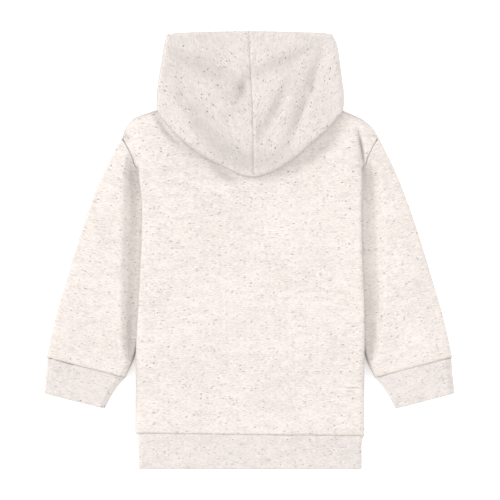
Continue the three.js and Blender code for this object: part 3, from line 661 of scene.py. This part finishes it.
def sleeve_grid(side, sizes):
    """A sleeve's outer face. Near the armhole its upper layer moves in, to the back panel's seam."""
    share = np.concatenate([np.linspace(0, 0.06, 8)[:-1], steps(0.06, 1, sizes.spacing / MM / SLEEVE_LENGTH)])
    outer, inner = lines_across(SLEEVE_LINES, side, share, smooth(share, 0, 0.25))
    under = sleeve_height(side, inner[:, 0], inner[:, 1], FAR_FROM_FOLD)
    under = np.maximum(TUCKED_HEIGHT, mix(under, SLEEVE_WRIST_HEIGHT, smooth(share, 0.86, 1)))
    to_cuff = (1 - share[:, None]) * SLEEVE_LENGTH

    def top(x, y, across, width):
        free = smooth(across, 3, 16) * smooth(side * x - body_edge[side](y), 8, 34)
        loose = 0.5 + 0.5 * hills(x, y, 46, 11 + side) + 0.3 * hills(x, y, 19, 14 + side)
        gather = 0.5 * hills(across, 3, 9, 17 + side) * np.exp(-to_cuff / 13)
        return sleeve_height(side, x, y, across) - free * (0.8 * np.clip(loose, 0, 2) + gather)

    height = np.full((len(share), 1), float(SLEEVE_FOLD_HEIGHT))
    rings, on_top = flat_rings(outer, inner, height, under[:, None], top, sizes.spacing / MM)
    near_armhole = share[:, None] < 0.3
    moved = slice(on_top.start, on_top.stop + 6)
    x, y, z = (rings[:, moved, i] for i in range(3))
    shift = (1 - smooth(share, 0, 0.06))[:, None]
    x = x + side * shift * (seam_on_back(side, y) + SEAM_GAP - lower_armhole_x(y))
    lowest = sleeve_height(side, x, y, FAR_FROM_FOLD)
    z = np.where(near_armhole, np.minimum(z, lowest), z)
    z = z - seam_dip(share[:, None] * SLEEVE_LENGTH, sizes) * smooth(y, 96, 116)
    rings[:, moved, 0] = x
    rings[:, moved, 2] = z
    draw_in(rings, to_cuff, sizes)
    return with_allowance(rings, (-side * ALLOWANCE, 0, 0))


def cuff_grid(side, sizes):
    """A cuff's outer face, from its seam to its open edge."""
    share = np.linspace(0, 1, 24)
    outer, inner = lines_across(CUFF_LINES, side, share, 1)
    height = mix(CUFF_HEIGHT + 0.5, CUFF_HEIGHT - 0.5, share)[:, None]

    def top(x, y, across, width):
        loose = 0.35 * hills(x, y, 17, 21 + side) + 0.25 * hills(across, 5, 6, 23 + side)
        return height + 1.2 * np.sin(math.pi * across / width) - abs(loose) * smooth(across, 3, 14)

    rings, _ = flat_rings(outer, inner, height - 1.5, height - 1.5, top, sizes.spacing / MM)
    draw_in(rings, share[:, None] * BAND_LENGTH, sizes)
    return with_allowance(rings, (-side * ALLOWANCE * 0.3, ALLOWANCE, 0))


def hem_grid(sizes):
    """The hem band's outer face, from its seam to its edge."""
    share = np.linspace(0, 1, 22)
    half = mix(HEM_SEAM_HALF, HEM_EDGE_HALF, smooth(share, 0, 0.3)) + HEM_FLARE * (1 - smooth(share, 0, 0.08))
    seam = [HEM_SEAM_Y - SEAM_GAP + hem_tilt(side * half, HEM_SEAM_Y) for side in (-1, 1)]
    outer = np.stack([-half, mix(seam[0], HEM_EDGE_Y, share)], axis=-1)
    inner = np.stack([half, mix(seam[1], HEM_EDGE_Y, share)], axis=-1)

    def top(x, y, across, width):
        loose = 0.4 * hills(x, y, 38, 31) + 0.25 * hills(x, 9, 8, 32)
        return band_top(across, width) - abs(loose) * smooth(across, 4, 16) * smooth(width - across, 4, 16)

    height = np.full((len(share), 1), HEM_HEIGHT - 1.5)
    rings, _ = flat_rings(outer, inner, height, height, top, sizes.spacing / MM)
    draw_in(rings, share[:, None] * BAND_LENGTH, sizes, HEM_SEAM_SHARE)
    return with_allowance(rings, (0, ALLOWANCE, 0))


def hood_floor(x, y):
    """Height of the hood's lower layer: it lies on the back, then slopes down past the neckline."""
    past_edge = y - top_of_back(x)
    on_shoulder = smooth(abs(x), NECK_SIDE_X - 7, NECK_SIDE_X + 9)
    starts = mix(3, 1, on_shoulder)
    return (BODY_HEIGHT + HOOD_CLEARANCE) * (1 - smooth((past_edge - starts) / (15 - starts), 0, 1))


def hood_ceiling(x, y):
    """Height of the hood's upper layer, with its folds."""
    on_back = 1 - smooth(y, 176, 212)
    raised = mix(HOOD_ON_BACK_HEIGHT, HOOD_SIDE_HEIGHT, smooth(abs(x), 68, 110))
    height = mix(HOOD_HEIGHT, raised, on_back * mix(0.35, 1, smooth(y, 92, 136)))
    height = mix(height, HOOD_TOP_HEIGHT, smooth(y, 215, 262))
    loose = 0.5 + 0.5 * hills(x, y, 37, 41) + 0.3 * hills(x, y, 17, 42)
    height = height - fold_depth(HOOD_FOLDS, x, y) - 0.8 * np.clip(loose, 0, 2)
    past_neck = y - back_neck_y(abs(x))
    over_mouth = (1 - smooth(abs(x), NECK_SIDE_X - 3, NECK_SIDE_X + 4)) * (1 - smooth(past_neck, 15, 22))
    lowest = hood_floor(x, y) + 2 * HOOD_WALL + HOOD_ROOM
    return np.maximum(height, mix(lowest, np.maximum(lowest, OVER_MOUTH_HEIGHT), over_mouth))


def near_edges(length, spacing, first, last):
    """Shares along a length that lie closer together near its first end, its last end or both."""
    close = np.array([0, 0.3, 0.9, 1.8, 3, 4.4])
    start = close if first else np.zeros(1)
    end = length - (close[::-1] if last else np.zeros(1))
    return np.concatenate([start, steps(start[-1], end[0], spacing)[1:-1], end]) / length


def rounded(distance, radius):
    """Height share of a rounded edge at a distance in from it."""
    rest = 1 - np.clip(distance / radius, 0, 1)
    return np.sqrt(1 - rest**2)


def hood_grid(side, sizes):
    """A hood half as one sheet: its upper layer out to the side fold, then its lower layer back in."""
    spacing = sizes.spacing / MM
    across = near_edges(HOOD_HALF_WIDTH, spacing, True, True)[None]
    up = near_edges(HOOD_LENGTH, spacing, True, True)[:, None]
    lower_y, top_y = hood_lower_y[side](across), hood_top_y(across)
    y = mix(lower_y, top_y, up)
    on_side = hood_side[side](mix(hood_lower_y[side](1), hood_top_y(1), up))
    lower_x, wide = hood_lower_x(across), across * on_side
    x = mix(lower_x, wide, np.minimum(1, up * 4 + across * 0.3))
    x = side * np.maximum(x, SEAM_GAP / 2) + hood_centre_x(y) * (1 - across)
    length = top_y - lower_y
    edge = rounded(up * length, 5) * rounded((1 - up) * length, 6) * rounded((1 - across) * on_side, 6)
    ceiling, floor = hood_ceiling(x, y), hood_floor(x, y)
    from_seam = across * on_side
    ceiling = ceiling - seam_dip(from_seam, sizes) - HOOD_SEAM_NOTCH * np.exp(-((from_seam / 1.1) ** 2))
    if side > 0:
        ceiling = ceiling + 0.5 * smooth(from_seam, 1.5, 3) * (1 - smooth(from_seam, 5, 8))
    middle = mix(floor, ceiling, RIM_SHARE)
    upper = np.stack([x, y, mix(middle, ceiling, edge)], axis=-1)
    lower = np.stack([x, y, mix(middle, floor, edge)], axis=-1)
    return np.concatenate([upper, lower[:, -2::-1]], axis=1)


def mesh_from_grid(name, grid, ring=False, flip=False, painted_shades=None):
    """A mesh of quads over a grid of points in millimetres.

    A table of shades is kept with the points as an attribute: how far the nap is pressed.
    """
    rows, columns = grid.shape[:2]
    index = np.arange(rows * columns).reshape(rows, columns)
    if ring:
        index = np.concatenate([index, index[:, :1]], axis=1)
    faces = np.stack([index[:-1, :-1], index[:-1, 1:], index[1:, 1:], index[1:, :-1]], axis=-1)
    faces = faces.reshape(-1, 4)
    if flip:
        faces = faces[:, ::-1]
    mesh = bpy.data.meshes.new(name)
    mesh.from_pydata((grid.reshape(-1, 3) * MM).tolist(), [], faces.tolist())
    mesh.validate()
    mesh.polygons.foreach_set("use_smooth", [True] * len(mesh.polygons))
    if painted_shades is not None:
        pressed = mesh.attributes.new(PAINTED_SHADE_ATTRIBUTE, "FLOAT", "POINT")
        pressed.data.foreach_set("value", fold_depth(painted_shades, grid[..., 0], grid[..., 1]).ravel())
    return mesh


def add_piece(name, mesh, material):
    """Puts a mesh in the scene as a named object of one material."""
    piece = bpy.data.objects.new(name, mesh)
    bpy.context.collection.objects.link(piece)
    mesh.materials.append(material)
    return piece


def thicken(piece, wall):
    """Gives a piece the cloth's thickness, inwards from its outer face."""
    solid = piece.modifiers.new("Cloth", "SOLIDIFY")
    solid.thickness = wall
    solid.offset = -1
    return solid


def add_cloth(mesh, material):
    """Puts a mesh in the scene as a wall of cloth."""
    piece = add_piece(mesh.name, mesh, material)
    thicken(piece, sizes().wall)
    return piece


def settle(piece):
    """Makes the piece's modifiers part of its mesh."""
    graph = bpy.context.evaluated_depsgraph_get()
    done = bpy.data.meshes.new_from_object(piece.evaluated_get(graph))
    piece.modifiers.clear()
    piece.data = done
    done.polygons.foreach_set("use_smooth", [True] * len(done.polygons))


def stand_in_for(piece, node):
    """Declares a piece: the solid it stands for, its finish and the cut of its cloth in metres."""
    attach(piece, "root")
    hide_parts(node)


def prism(name, outline, bottom, top):
    """An upright block with a closed outline of points, for cutting or joining."""
    count = len(outline)
    low = [(x * MM, y * MM, bottom * MM) for x, y in outline]
    high = [(x * MM, y * MM, top * MM) for x, y in outline]
    sides = [(i, (i + 1) % count, (i + 1) % count + count, i + count) for i in range(count)]
    mesh = bpy.data.meshes.new(name)
    mesh.from_pydata(low + high, [], [tuple(range(count))[::-1], tuple(range(count, 2 * count)), *sides])
    area = sum(a[0] * b[1] - b[0] * a[1] for a, b in zip(outline, outline[1:] + outline[:1]))
    if area < 0:
        mesh.flip_normals()
    block = bpy.data.objects.new(name, mesh)
    bpy.context.collection.objects.link(block)
    return block


def combine(piece, operation, block):
    """Cuts a block out of a piece or joins it on, and takes the block away."""
    boolean = piece.modifiers.new(block.name, "BOOLEAN")
    boolean.solver = "MANIFOLD"
    boolean.operation = operation
    boolean.object = block
    settle(piece)
    bpy.data.objects.remove(block)


# The cut-outs of the hood's lower layer, as in the solids
MOUTH_DEPTH = 16
MOUTH_TAPER = 5
SEAM_LAP = 2
FRONT_PLATE_HALF = 94


def band_outline(side, xs, near, far, start):
    """A closed outline between two curves over x, mirrored to a side, with its centre points at start."""
    def place(x, y):
        return (start if x == 0 else side * float(x), float(y))

    return [place(x, near(x)) for x in xs] + [place(x, far(x)) for x in xs[::-1]]


def open_hood(piece, side):
    """Opens a hood half's lower layer at the neck and the face, and adds the part in front of the neck."""
    past = -side * 8
    xs = np.linspace(0, 71, 24)

    def far_edge(x):
        return back_neck_y(x) + MOUTH_DEPTH - (x / NECK_SIDE_X) ** 2 * MOUTH_TAPER

    high = band_outline(
        side, xs, lambda x: back_neck_y(x) - SEAM_LAP, lambda x: back_neck_y(x) + MOUTH_DEPTH / 2, past
    )
    combine(piece, "DIFFERENCE", prism("neck_above", high, -1, BODY_HEIGHT + 2.5))
    low = band_outline(side, xs, back_neck_y, far_edge, past)
    combine(piece, "DIFFERENCE", prism("neck_below", low, -1, BODY_HEIGHT - 2))
    xs = np.concatenate([np.linspace(0, NECK_SIDE_X, 24), np.linspace(NECK_SIDE_X, FRONT_PLATE_HALF, 6)[1:]])
    plate = band_outline(
        side,
        xs,
        lambda x: top_of_front(side * x) + 2 * SEAM_GAP,
        lambda x: back_neck_y(x) + MOUTH_DEPTH + 1,
        side * SEAM_GAP / 2,
    )
    plate[-1] = (float(hood_centre_x(plate[-1][1])) + side * SEAM_GAP / 2, plate[-1][1])
    combine(piece, "UNION", prism("in_front", plate, 0, 1.8))
    xs = np.linspace(0, 66, 20)
    combine(piece, "DIFFERENCE", prism("face", band_outline(side, xs, chin_y, lip_y, past), -1, 3))


class Wire:
    """A value on its way through a shader. Each operator adds the Math node that works it out."""

    def __init__(self, shader, socket):
        self.shader = shader
        self.socket = socket

    def beside(self, name):
        """Another output of the same node."""
        return Wire(self.shader, self.socket.node.outputs[name])

    def math(self, operation, first, second):
        return self.shader.node("ShaderNodeMath", {"operation": operation}, (first, second))

    def __add__(self, other):
        return self.math("ADD", self, other)

    def __rsub__(self, other):
        return self.math("SUBTRACT", other, self)

    def __mul__(self, other):
        return self.math("MULTIPLY", self, other)

    def __lt__(self, other):
        return self.math("LESS_THAN", self, other)

    def wave(self):
        """Its sine."""
        return self.math("SINE", self, 0)

    def between(self, low, high):
        """0 at low, 1 at high, and a soft step between them."""
        inputs = {"Value": self, "From Min": low, "From Max": high}
        return self.shader.node("ShaderNodeMapRange", {"interpolation_type": "SMOOTHSTEP"}, inputs)


class Shader:
    """The nodes of one material."""

    def __init__(self, name):
        self.material = bpy.data.materials.new(name)
        self.material.use_nodes = True
        self.tree = self.material.node_tree
        self.surface = self.tree.nodes["Principled BSDF"]

    def node(self, kind, settings=None, inputs=(), output=0):
        """Adds a node of a type, with its settings, then the values or links of its sockets."""
        made = self.tree.nodes.new(kind)
        for name, value in (settings or {}).items():
            setattr(made, name, value)
        self.fill(made, inputs)
        return Wire(self, made.outputs[output])

    def fill(self, made, inputs):
        """Links or sets sockets by their names or numbers."""
        for name, value in inputs.items() if isinstance(inputs, dict) else enumerate(inputs):
            if isinstance(value, Wire):
                self.tree.links.new(value.socket, made.inputs[name])
            else:
                made.inputs[name].default_value = value

    def vector(self, operation, first, second):
        return self.node("ShaderNodeVectorMath", {"operation": operation}, (first, second))

    def colour(self, factor, first, second):
        """A mixture of two colours."""
        return self.node("ShaderNodeMix", {"data_type": "RGBA"}, {0: factor, 6: first, 7: second}, 2)

    def noise(self, place, scale=1.0, detail=2.0, roughness=0.5):
        inputs = {"Vector": place, "Scale": scale, "Detail": detail, "Roughness": roughness}
        return self.node("ShaderNodeTexNoise", {"noise_dimensions": "3D"}, inputs, "Fac")


class Knit:
    """A flecked sweatshirt knit whose rows of stitches run at an angle to +X."""

    def __init__(self, name, colours, grain, flecks, ground, shade):
        self.shader = Shader(name)
        self.colours = colours
        self.flecks = flecks
        place = self.shader.node("ShaderNodeTexCoord", output="Object")
        turned = {"Vector": place, "Angle": -math.radians(grain)}
        self.place = self.shader.node("ShaderNodeVectorRotate", {"rotation_type": "Z_AXIS"}, turned)
        self.ground = ground
        self.shade = shade
        self.build()

    def cells(self, along, across, seed=0.0):
        """The place on the cloth in cells of a length along the rows and a width across them, in metres."""
        scaled = self.shader.vector("DIVIDE", self.place, (along, across, across * 3))
        return self.shader.vector("ADD", scaled, (seed, seed * 0.37, seed * 0.71))

    def specks(self, length, width, size, share, seed):
        """Where short specks of fibre lie: cells of a length and width, a share of which holds a speck."""
        wobble = self.shader.noise(self.cells(length * 0.6, width * 2, seed), 1, 1)
        bent = self.shader.vector("ADD", self.cells(length, width, seed), wobble)
        settings = {"voronoi_dimensions": "3D", "feature": "F1"}
        distance = self.shader.node("ShaderNodeTexVoronoi", settings, {"Vector": bent, "Scale": 1.0})
        chance = self.shader.node("ShaderNodeSeparateColor", None, (distance.beside("Color"),))
        radius = chance.beside("Green") * size + size * 0.55
        body = distance.between(radius, radius * 0.35)
        return body * (chance < share) * (chance.beside("Blue") * 0.7 + 0.3)

    def build(self):
        """Colour, roughness and relief of the knit."""
        shader, colours = self.shader, self.colours
        yarn = shader.noise(self.cells(0.0042, 0.0013), 1, 3, 0.6)
        heather = shader.noise(self.cells(0.016, 0.007, 5.1), 1, 3, 0.6)
        cloud = shader.noise(self.cells(0.07, 0.05, 9.3), 1, 2, 0.5)
        tone = yarn * 0.6 + heather * 0.25 + cloud * 0.15
        ground = shader.colour(tone.between(0.36, 0.62), self.shade, self.ground)
        # Painted shade: the cloth is darkened towards the painted shade colour as far as its attribute says,
        # in folds, along outlines and beside the hood's edge.
        pressed = shader.node("ShaderNodeAttribute", {"attribute_name": PAINTED_SHADE_ATTRIBUTE}, output="Fac")
        painted_shade_share = pressed.between(0, 1) * 0.5 + pressed.between(1, 2) * 0.5
        ground = shader.colour(painted_shade_share, ground, colours.pressed)
        # Painted shade: cloth whose surface faces sideways or down is darkened towards the painted shade
        # colour.
        normal = shader.node("ShaderNodeNewGeometry", output="Normal")
        upward = shader.node("ShaderNodeSeparateXYZ", None, (normal,), "Z")
        ground = shader.colour((1 - upward.between(0.2, 0.88)) * 0.6, ground, colours.pressed)
        streaks = shader.noise(self.cells(0.0052, 0.0012, 27.9), 1, 2, 0.5).between(0.58, 0.72)
        dashes = self.specks(0.0074, 0.0023, 0.26, 0.42 * self.flecks, 3.7)
        dots = self.specks(0.0044, 0.0025, 0.27, 0.32 * self.flecks, 17.2)
        slubs = self.specks(0.027, 0.0034, 0.22, 0.14 * self.flecks, 41.9)
        neps = self.specks(0.0058, 0.0026, 0.25, 0.4, 71.3)
        flecked = shader.colour(streaks * 0.14, ground, colours.fleck)
        flecked = shader.colour(dashes * 0.75, flecked, colours.fleck)
        flecked = shader.colour(dots * 0.95, flecked, colours.dark_fleck)
        flecked = shader.colour(slubs * 0.5, flecked, colours.fleck)
        flecked = shader.colour(neps * 0.75, flecked, colours.nep)
        relief = self.stitches() * 0.35 + yarn * 0.9 + heather * 0.5 + neps * 0.5
        bump = {"Strength": 0.55, "Distance": 0.0006, "Height": relief}
        shader.fill(
            shader.surface,
            {
                "Base Color": flecked,
                "Roughness": 0.93,
                "Sheen Weight": 0.12,
                "Sheen Roughness": 0.55,
                "Specular IOR Level": 0.2,
                "Normal": shader.node("ShaderNodeBump", None, bump),
            },
        )

    def stitches(self):
        """Relief of the stitches: wales that stand beside each other, each a column of small arches."""
        parts = self.shader.node("ShaderNodeSeparateXYZ", None, (self.cells(0.0008, 0.00065),), "X")
        wale = (parts * (2 * math.pi)).wave()
        arches = (parts.beside("Y") * (2 * math.pi) + wale * 1.4).wave()
        return wale * 0.5 + arches * 0.3


# The direction of the rows of stitches on each piece, in degrees from +X
GRAIN = {
    "body": 0,
    "sleeve_left": -17,
    "sleeve_right": 17,
    "cuff_left": -15,
    "cuff_right": 15,
    "hem": 0,
    "hood_left": -58,
    "hood_right": 58,
}
SIDES = (("left", -1), ("right", 1))


def knit(name, yarn="", flecks=1):
    """The knit of a piece, in its own direction, from one yarn's colours and with its share of flecks."""
    made = bpy.data.materials.get(f"knit_{name}")
    if made:
        return made
    colours = bpy.context.scene.hoodie_colours
    ground, shade = (getattr(colours, f"{yarn}{tone}") for tone in ("ground", "shade"))
    return Knit(f"knit_{name}", colours, GRAIN[name], flecks, ground, shade).shader.material


def colour_property(name, description, default):
    return FloatVectorProperty(
        name=name, description=description, subtype="COLOR", size=4, min=0, max=1, default=(*default, 1)
    )


def number_property(name, description, default, **limits):
    return FloatProperty(name=name, description=description, default=default, **limits)


def length_property(name, description, default):
    return number_property(
        name, description, default, min=0, precision=4, subtype="DISTANCE", unit="LENGTH"
    )


class HoodieSizes(bpy.types.PropertyGroup):
    """Sizes of the cloth and its sewing."""

    wall: length_property("Cloth", "Thickness of the knit", 0.0018)
    spacing: length_property("Mesh spacing", "Distance between the points of the cloth", 0.0024)
    seam_dip: length_property("Seam depth", "How far a seam draws the cloth in", 0.0007)
    seam_width: length_property("Seam width", "How far from a seam the cloth is drawn in", 0.0022)


class HoodieColours(bpy.types.PropertyGroup):
    """Colours of the knit."""

    ground: colour_property("Ground", "The light yarn of the body and sleeves", (0.786, 0.728, 0.69))
    shade: colour_property("Shade", "The dark yarn of the body and sleeves", (0.625, 0.572, 0.54))
    # The hood is given darker, greyer colours than the body and sleeves; in part this is painted shade, for
    # the shade the hood lies in.
    hood_ground: colour_property("Hood ground", "The light yarn of the hood", (0.715, 0.66, 0.63))
    hood_shade: colour_property("Hood shade", "The dark yarn of the hood", (0.585, 0.537, 0.512))
    band_ground: colour_property("Band ground", "The light yarn of the bands", (0.73, 0.675, 0.65))
    band_shade: colour_property("Band shade", "The dark yarn of the bands", (0.585, 0.54, 0.52))
    # Painted shade: the colour that folds, outlines, valleys and sides facing away from the sky are darkened
    # towards.
    pressed: colour_property("Painted shade", "The cloth where its nap lies flat", (0.45, 0.41, 0.385))
    fleck: colour_property("Fleck", "The common grey flecks", (0.32, 0.29, 0.28))
    dark_fleck: colour_property("Dark fleck", "The small dark flecks", (0.10, 0.09, 0.09))
    nep: colour_property("Nep", "The small white lumps of fibre", (0.86, 0.83, 0.80))


class HoodieStudio(bpy.types.PropertyGroup):
    """The floor, the camera and the light."""

    lens: number_property("Lens", "Focal length in mm", 180, min=10)
    camera_height: length_property("Camera height", "Height of the camera above the floor", 3.05)
    camera_y: length_property("Camera offset", "How far the view's middle lies above the garment's", 0.0002)
    floor: colour_property("Floor", "Colour of the floor", (0.94, 0.94, 0.94))
    floor_glow: number_property("Floor glow", "Light of the floor itself", 0.3, min=0)
    sky: number_property("Sky", "Strength of the light from all round", 0.64, min=0)
    ring: number_property("Ring lights", "Strength of each light of the ring", 0.61, min=0)
    ring_width: number_property("Ring softness", "How wide they are", 0.6, subtype="ANGLE")
    ring_elevation: number_property("Ring height", "Their elevation", 0.5, subtype="ANGLE")
    sideways: number_property("Sideways", "How much stronger the sides are", 0.6, min=0, max=1)
    lean: number_property("Lean", "How much stronger one side is", 0.35, min=0, max=1)


def sizes():
    return bpy.context.scene.hoodie_sizes


def add_floor(studio):
    mesh = bpy.data.meshes.new("floor")
    half, below = 3, -2e-4
    corners = [(-half, -half, below), (half, -half, below), (half, half, below), (-half, half, below)]
    mesh.from_pydata(corners, [], [(0, 1, 2, 3)])
    shader = Shader("floor_paint")
    grain = shader.noise(shader.node("ShaderNodeTexCoord", output="Object"), 9, 3)
    paint = shader.colour(grain, studio.floor, [value * 0.985 for value in studio.floor])
    glow = {"Emission Color": (1, 1, 1, 1), "Emission Strength": studio.floor_glow}
    shader.fill(shader.surface, {"Base Color": paint, "Roughness": 0.85, **glow})
    add_piece("floor", mesh, shader.material)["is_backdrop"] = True


def add_camera(studio):
    camera = bpy.data.objects.new("camera", bpy.data.cameras.new("camera"))
    camera.data.lens = studio.lens
    camera.location = (0, studio.camera_y, studio.camera_height)
    bpy.context.collection.objects.link(camera)
    bpy.context.scene.camera = camera


def add_lights(studio):
    """A ring of soft lights all round, a little stronger from the top left."""
    for i in range(RING_LIGHTS):
        turn = 2 * math.pi * i / RING_LIGHTS
        sideways = 1 + studio.sideways * math.cos(2 * turn)
        lamp = bpy.data.objects.new(f"ring_light_{i}", bpy.data.lights.new(f"ring_light_{i}", "SUN"))
        lamp.data.energy = studio.ring * sideways * (1 + studio.lean * math.cos(turn - LEAN_TOWARDS))
        lamp.data.angle = studio.ring_width
        lamp.rotation_euler = (0, math.pi / 2 - studio.ring_elevation, turn)
        bpy.context.collection.objects.link(lamp)


def make_studio():
    """Sets the floor, the light and the camera that looks straight down"""
    scene = bpy.context.scene
    scene.view_settings.view_transform = "Standard"
    add_floor(scene.hoodie_studio)
    add_camera(scene.hoodie_studio)
    add_lights(scene.hoodie_studio)
    scene.world = scene.world or bpy.data.worlds.new("sky")
    scene.world.use_nodes = True
    sky = scene.world.node_tree.nodes["Background"]
    sky.inputs["Color"].default_value = (1, 0.995, 0.985, 1)
    sky.inputs["Strength"].default_value = scene.hoodie_studio.sky


def make_front():
    """Makes the front panel, which lies on the surface"""
    piece = add_cloth(mesh_from_grid("front_cloth", front_grid()), knit("body"))
    stand_in_for(piece, "front_panel")


def make_back():
    """Makes the back panel, which rolls over the tucked sleeves at its sides"""
    piece = add_cloth(mesh_from_grid("back_cloth", back_grid(sizes()), painted_shades=BACK_PAINTED_SHADES), knit("body"))
    stand_in_for(piece, "back_panel")


def make_sleeves():
    """Makes both sleeves, tucked in beside the body"""
    for name, side in SIDES:
        material = knit(f"sleeve_{name}")
        grid = sleeve_grid(side, sizes())
        mesh = mesh_from_grid(f"sleeve_{name}_cloth", grid, True, side < 0, SLEEVE_PAINTED_SHADES)
        piece = add_cloth(mesh, material)
        stand_in_for(piece, f"sleeve_{name}")


def make_cuffs():
    """Makes both cuffs of close band knit"""
    for name, side in SIDES:
        material = knit(f"cuff_{name}", "band_")
        mesh = mesh_from_grid(f"cuff_{name}_cloth", cuff_grid(side, sizes()), True, side < 0)
        piece = add_cloth(mesh, material)
        stand_in_for(piece, f"cuff_{name}")


def make_hem():
    """Makes the hem band of close band knit"""
    piece = add_cloth(mesh_from_grid("hem_cloth", hem_grid(sizes()), True, True), knit("hem", "band_", 1.2))
    stand_in_for(piece, "hem_band")


def join_rims(mesh):
    """Joins the two layers where they meet, at the hood's top and its hanging edge."""
    work = bmesh.new()
    work.from_mesh(mesh)
    bmesh.ops.remove_doubles(work, verts=work.verts, dist=1e-6)
    work.to_mesh(mesh)
    work.free()


def make_hood():
    """Makes both halves of the hood, which hangs down over the back"""
    for name, side in SIDES:
        material = knit(f"hood_{name}", "hood_", 1.2)
        mesh = mesh_from_grid(f"hood_{name}_cloth", hood_grid(side, sizes()), False, side < 0, HOOD_PAINTED_SHADES)
        join_rims(mesh)
        piece = add_cloth(mesh, material)
        settle(piece)
        open_hood(piece, side)
        stand_in_for(piece, f"hood_{name}")


def operator(make, label):
    """The Blender operator of a function that makes something, with the function's own description."""
    name = make.__name__.removeprefix("make_")

    def execute(self, context):
        make()
        return {"FINISHED"}

    members = {"__doc__": make.__doc__, "bl_idname": f"hoodie.{name}", "bl_label": label, "execute": execute}
    return type(f"HOODIE_OT_{name}", (bpy.types.Operator,), members)


OPERATORS = (
    operator(make_studio, "Studio"),
    operator(make_front, "Front panel"),
    operator(make_back, "Back panel"),
    operator(make_sleeves, "Sleeves"),
    operator(make_cuffs, "Cuffs"),
    operator(make_hem, "Hem band"),
    operator(make_hood, "Hood"),
)
GROUPS = {"hoodie_sizes": HoodieSizes, "hoodie_colours": HoodieColours, "hoodie_studio": HoodieStudio}


class HOODIE_PT_panel(bpy.types.Panel):
    """Lists the sizes, the colours and the pieces"""

    bl_idname = "HOODIE_PT_panel"
    bl_label = "Hoodie"
    bl_space_type = "VIEW_3D"
    bl_region_type = "UI"
    bl_category = "Hoodie"

    def draw(self, context):
        layout = self.layout
        for group_name, group in GROUPS.items():
            box = layout.box()
            for name in group.__annotations__:
                box.prop(getattr(context.scene, group_name), name)
        for made in OPERATORS:
            layout.operator(made.bl_idname)


def register():
    for name, group in GROUPS.items():
        bpy.utils.register_class(group)
        setattr(bpy.types.Scene, name, PointerProperty(type=group))
    for cls in (*OPERATORS, HOODIE_PT_panel):
        bpy.utils.register_class(cls)


def unregister():
    for cls in (HOODIE_PT_panel, *reversed(OPERATORS)):
        bpy.utils.unregister_class(cls)
    for name, group in GROUPS.items():
        delattr(bpy.types.Scene, name)
        bpy.utils.unregister_class(group)


def main():
    """Makes the studio and every piece, and writes the boxes of the solids and of what shows."""
    register()
    for made in OPERATORS:
        group, name = made.bl_idname.split(".")
        getattr(getattr(bpy.ops, group), name)()
    corners = {"cad": CAD_BOX, "visual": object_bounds()}
    {name: [list(corner) for corner in box] for name, box in corners.items()}


if __name__ == "__main__":
    main()
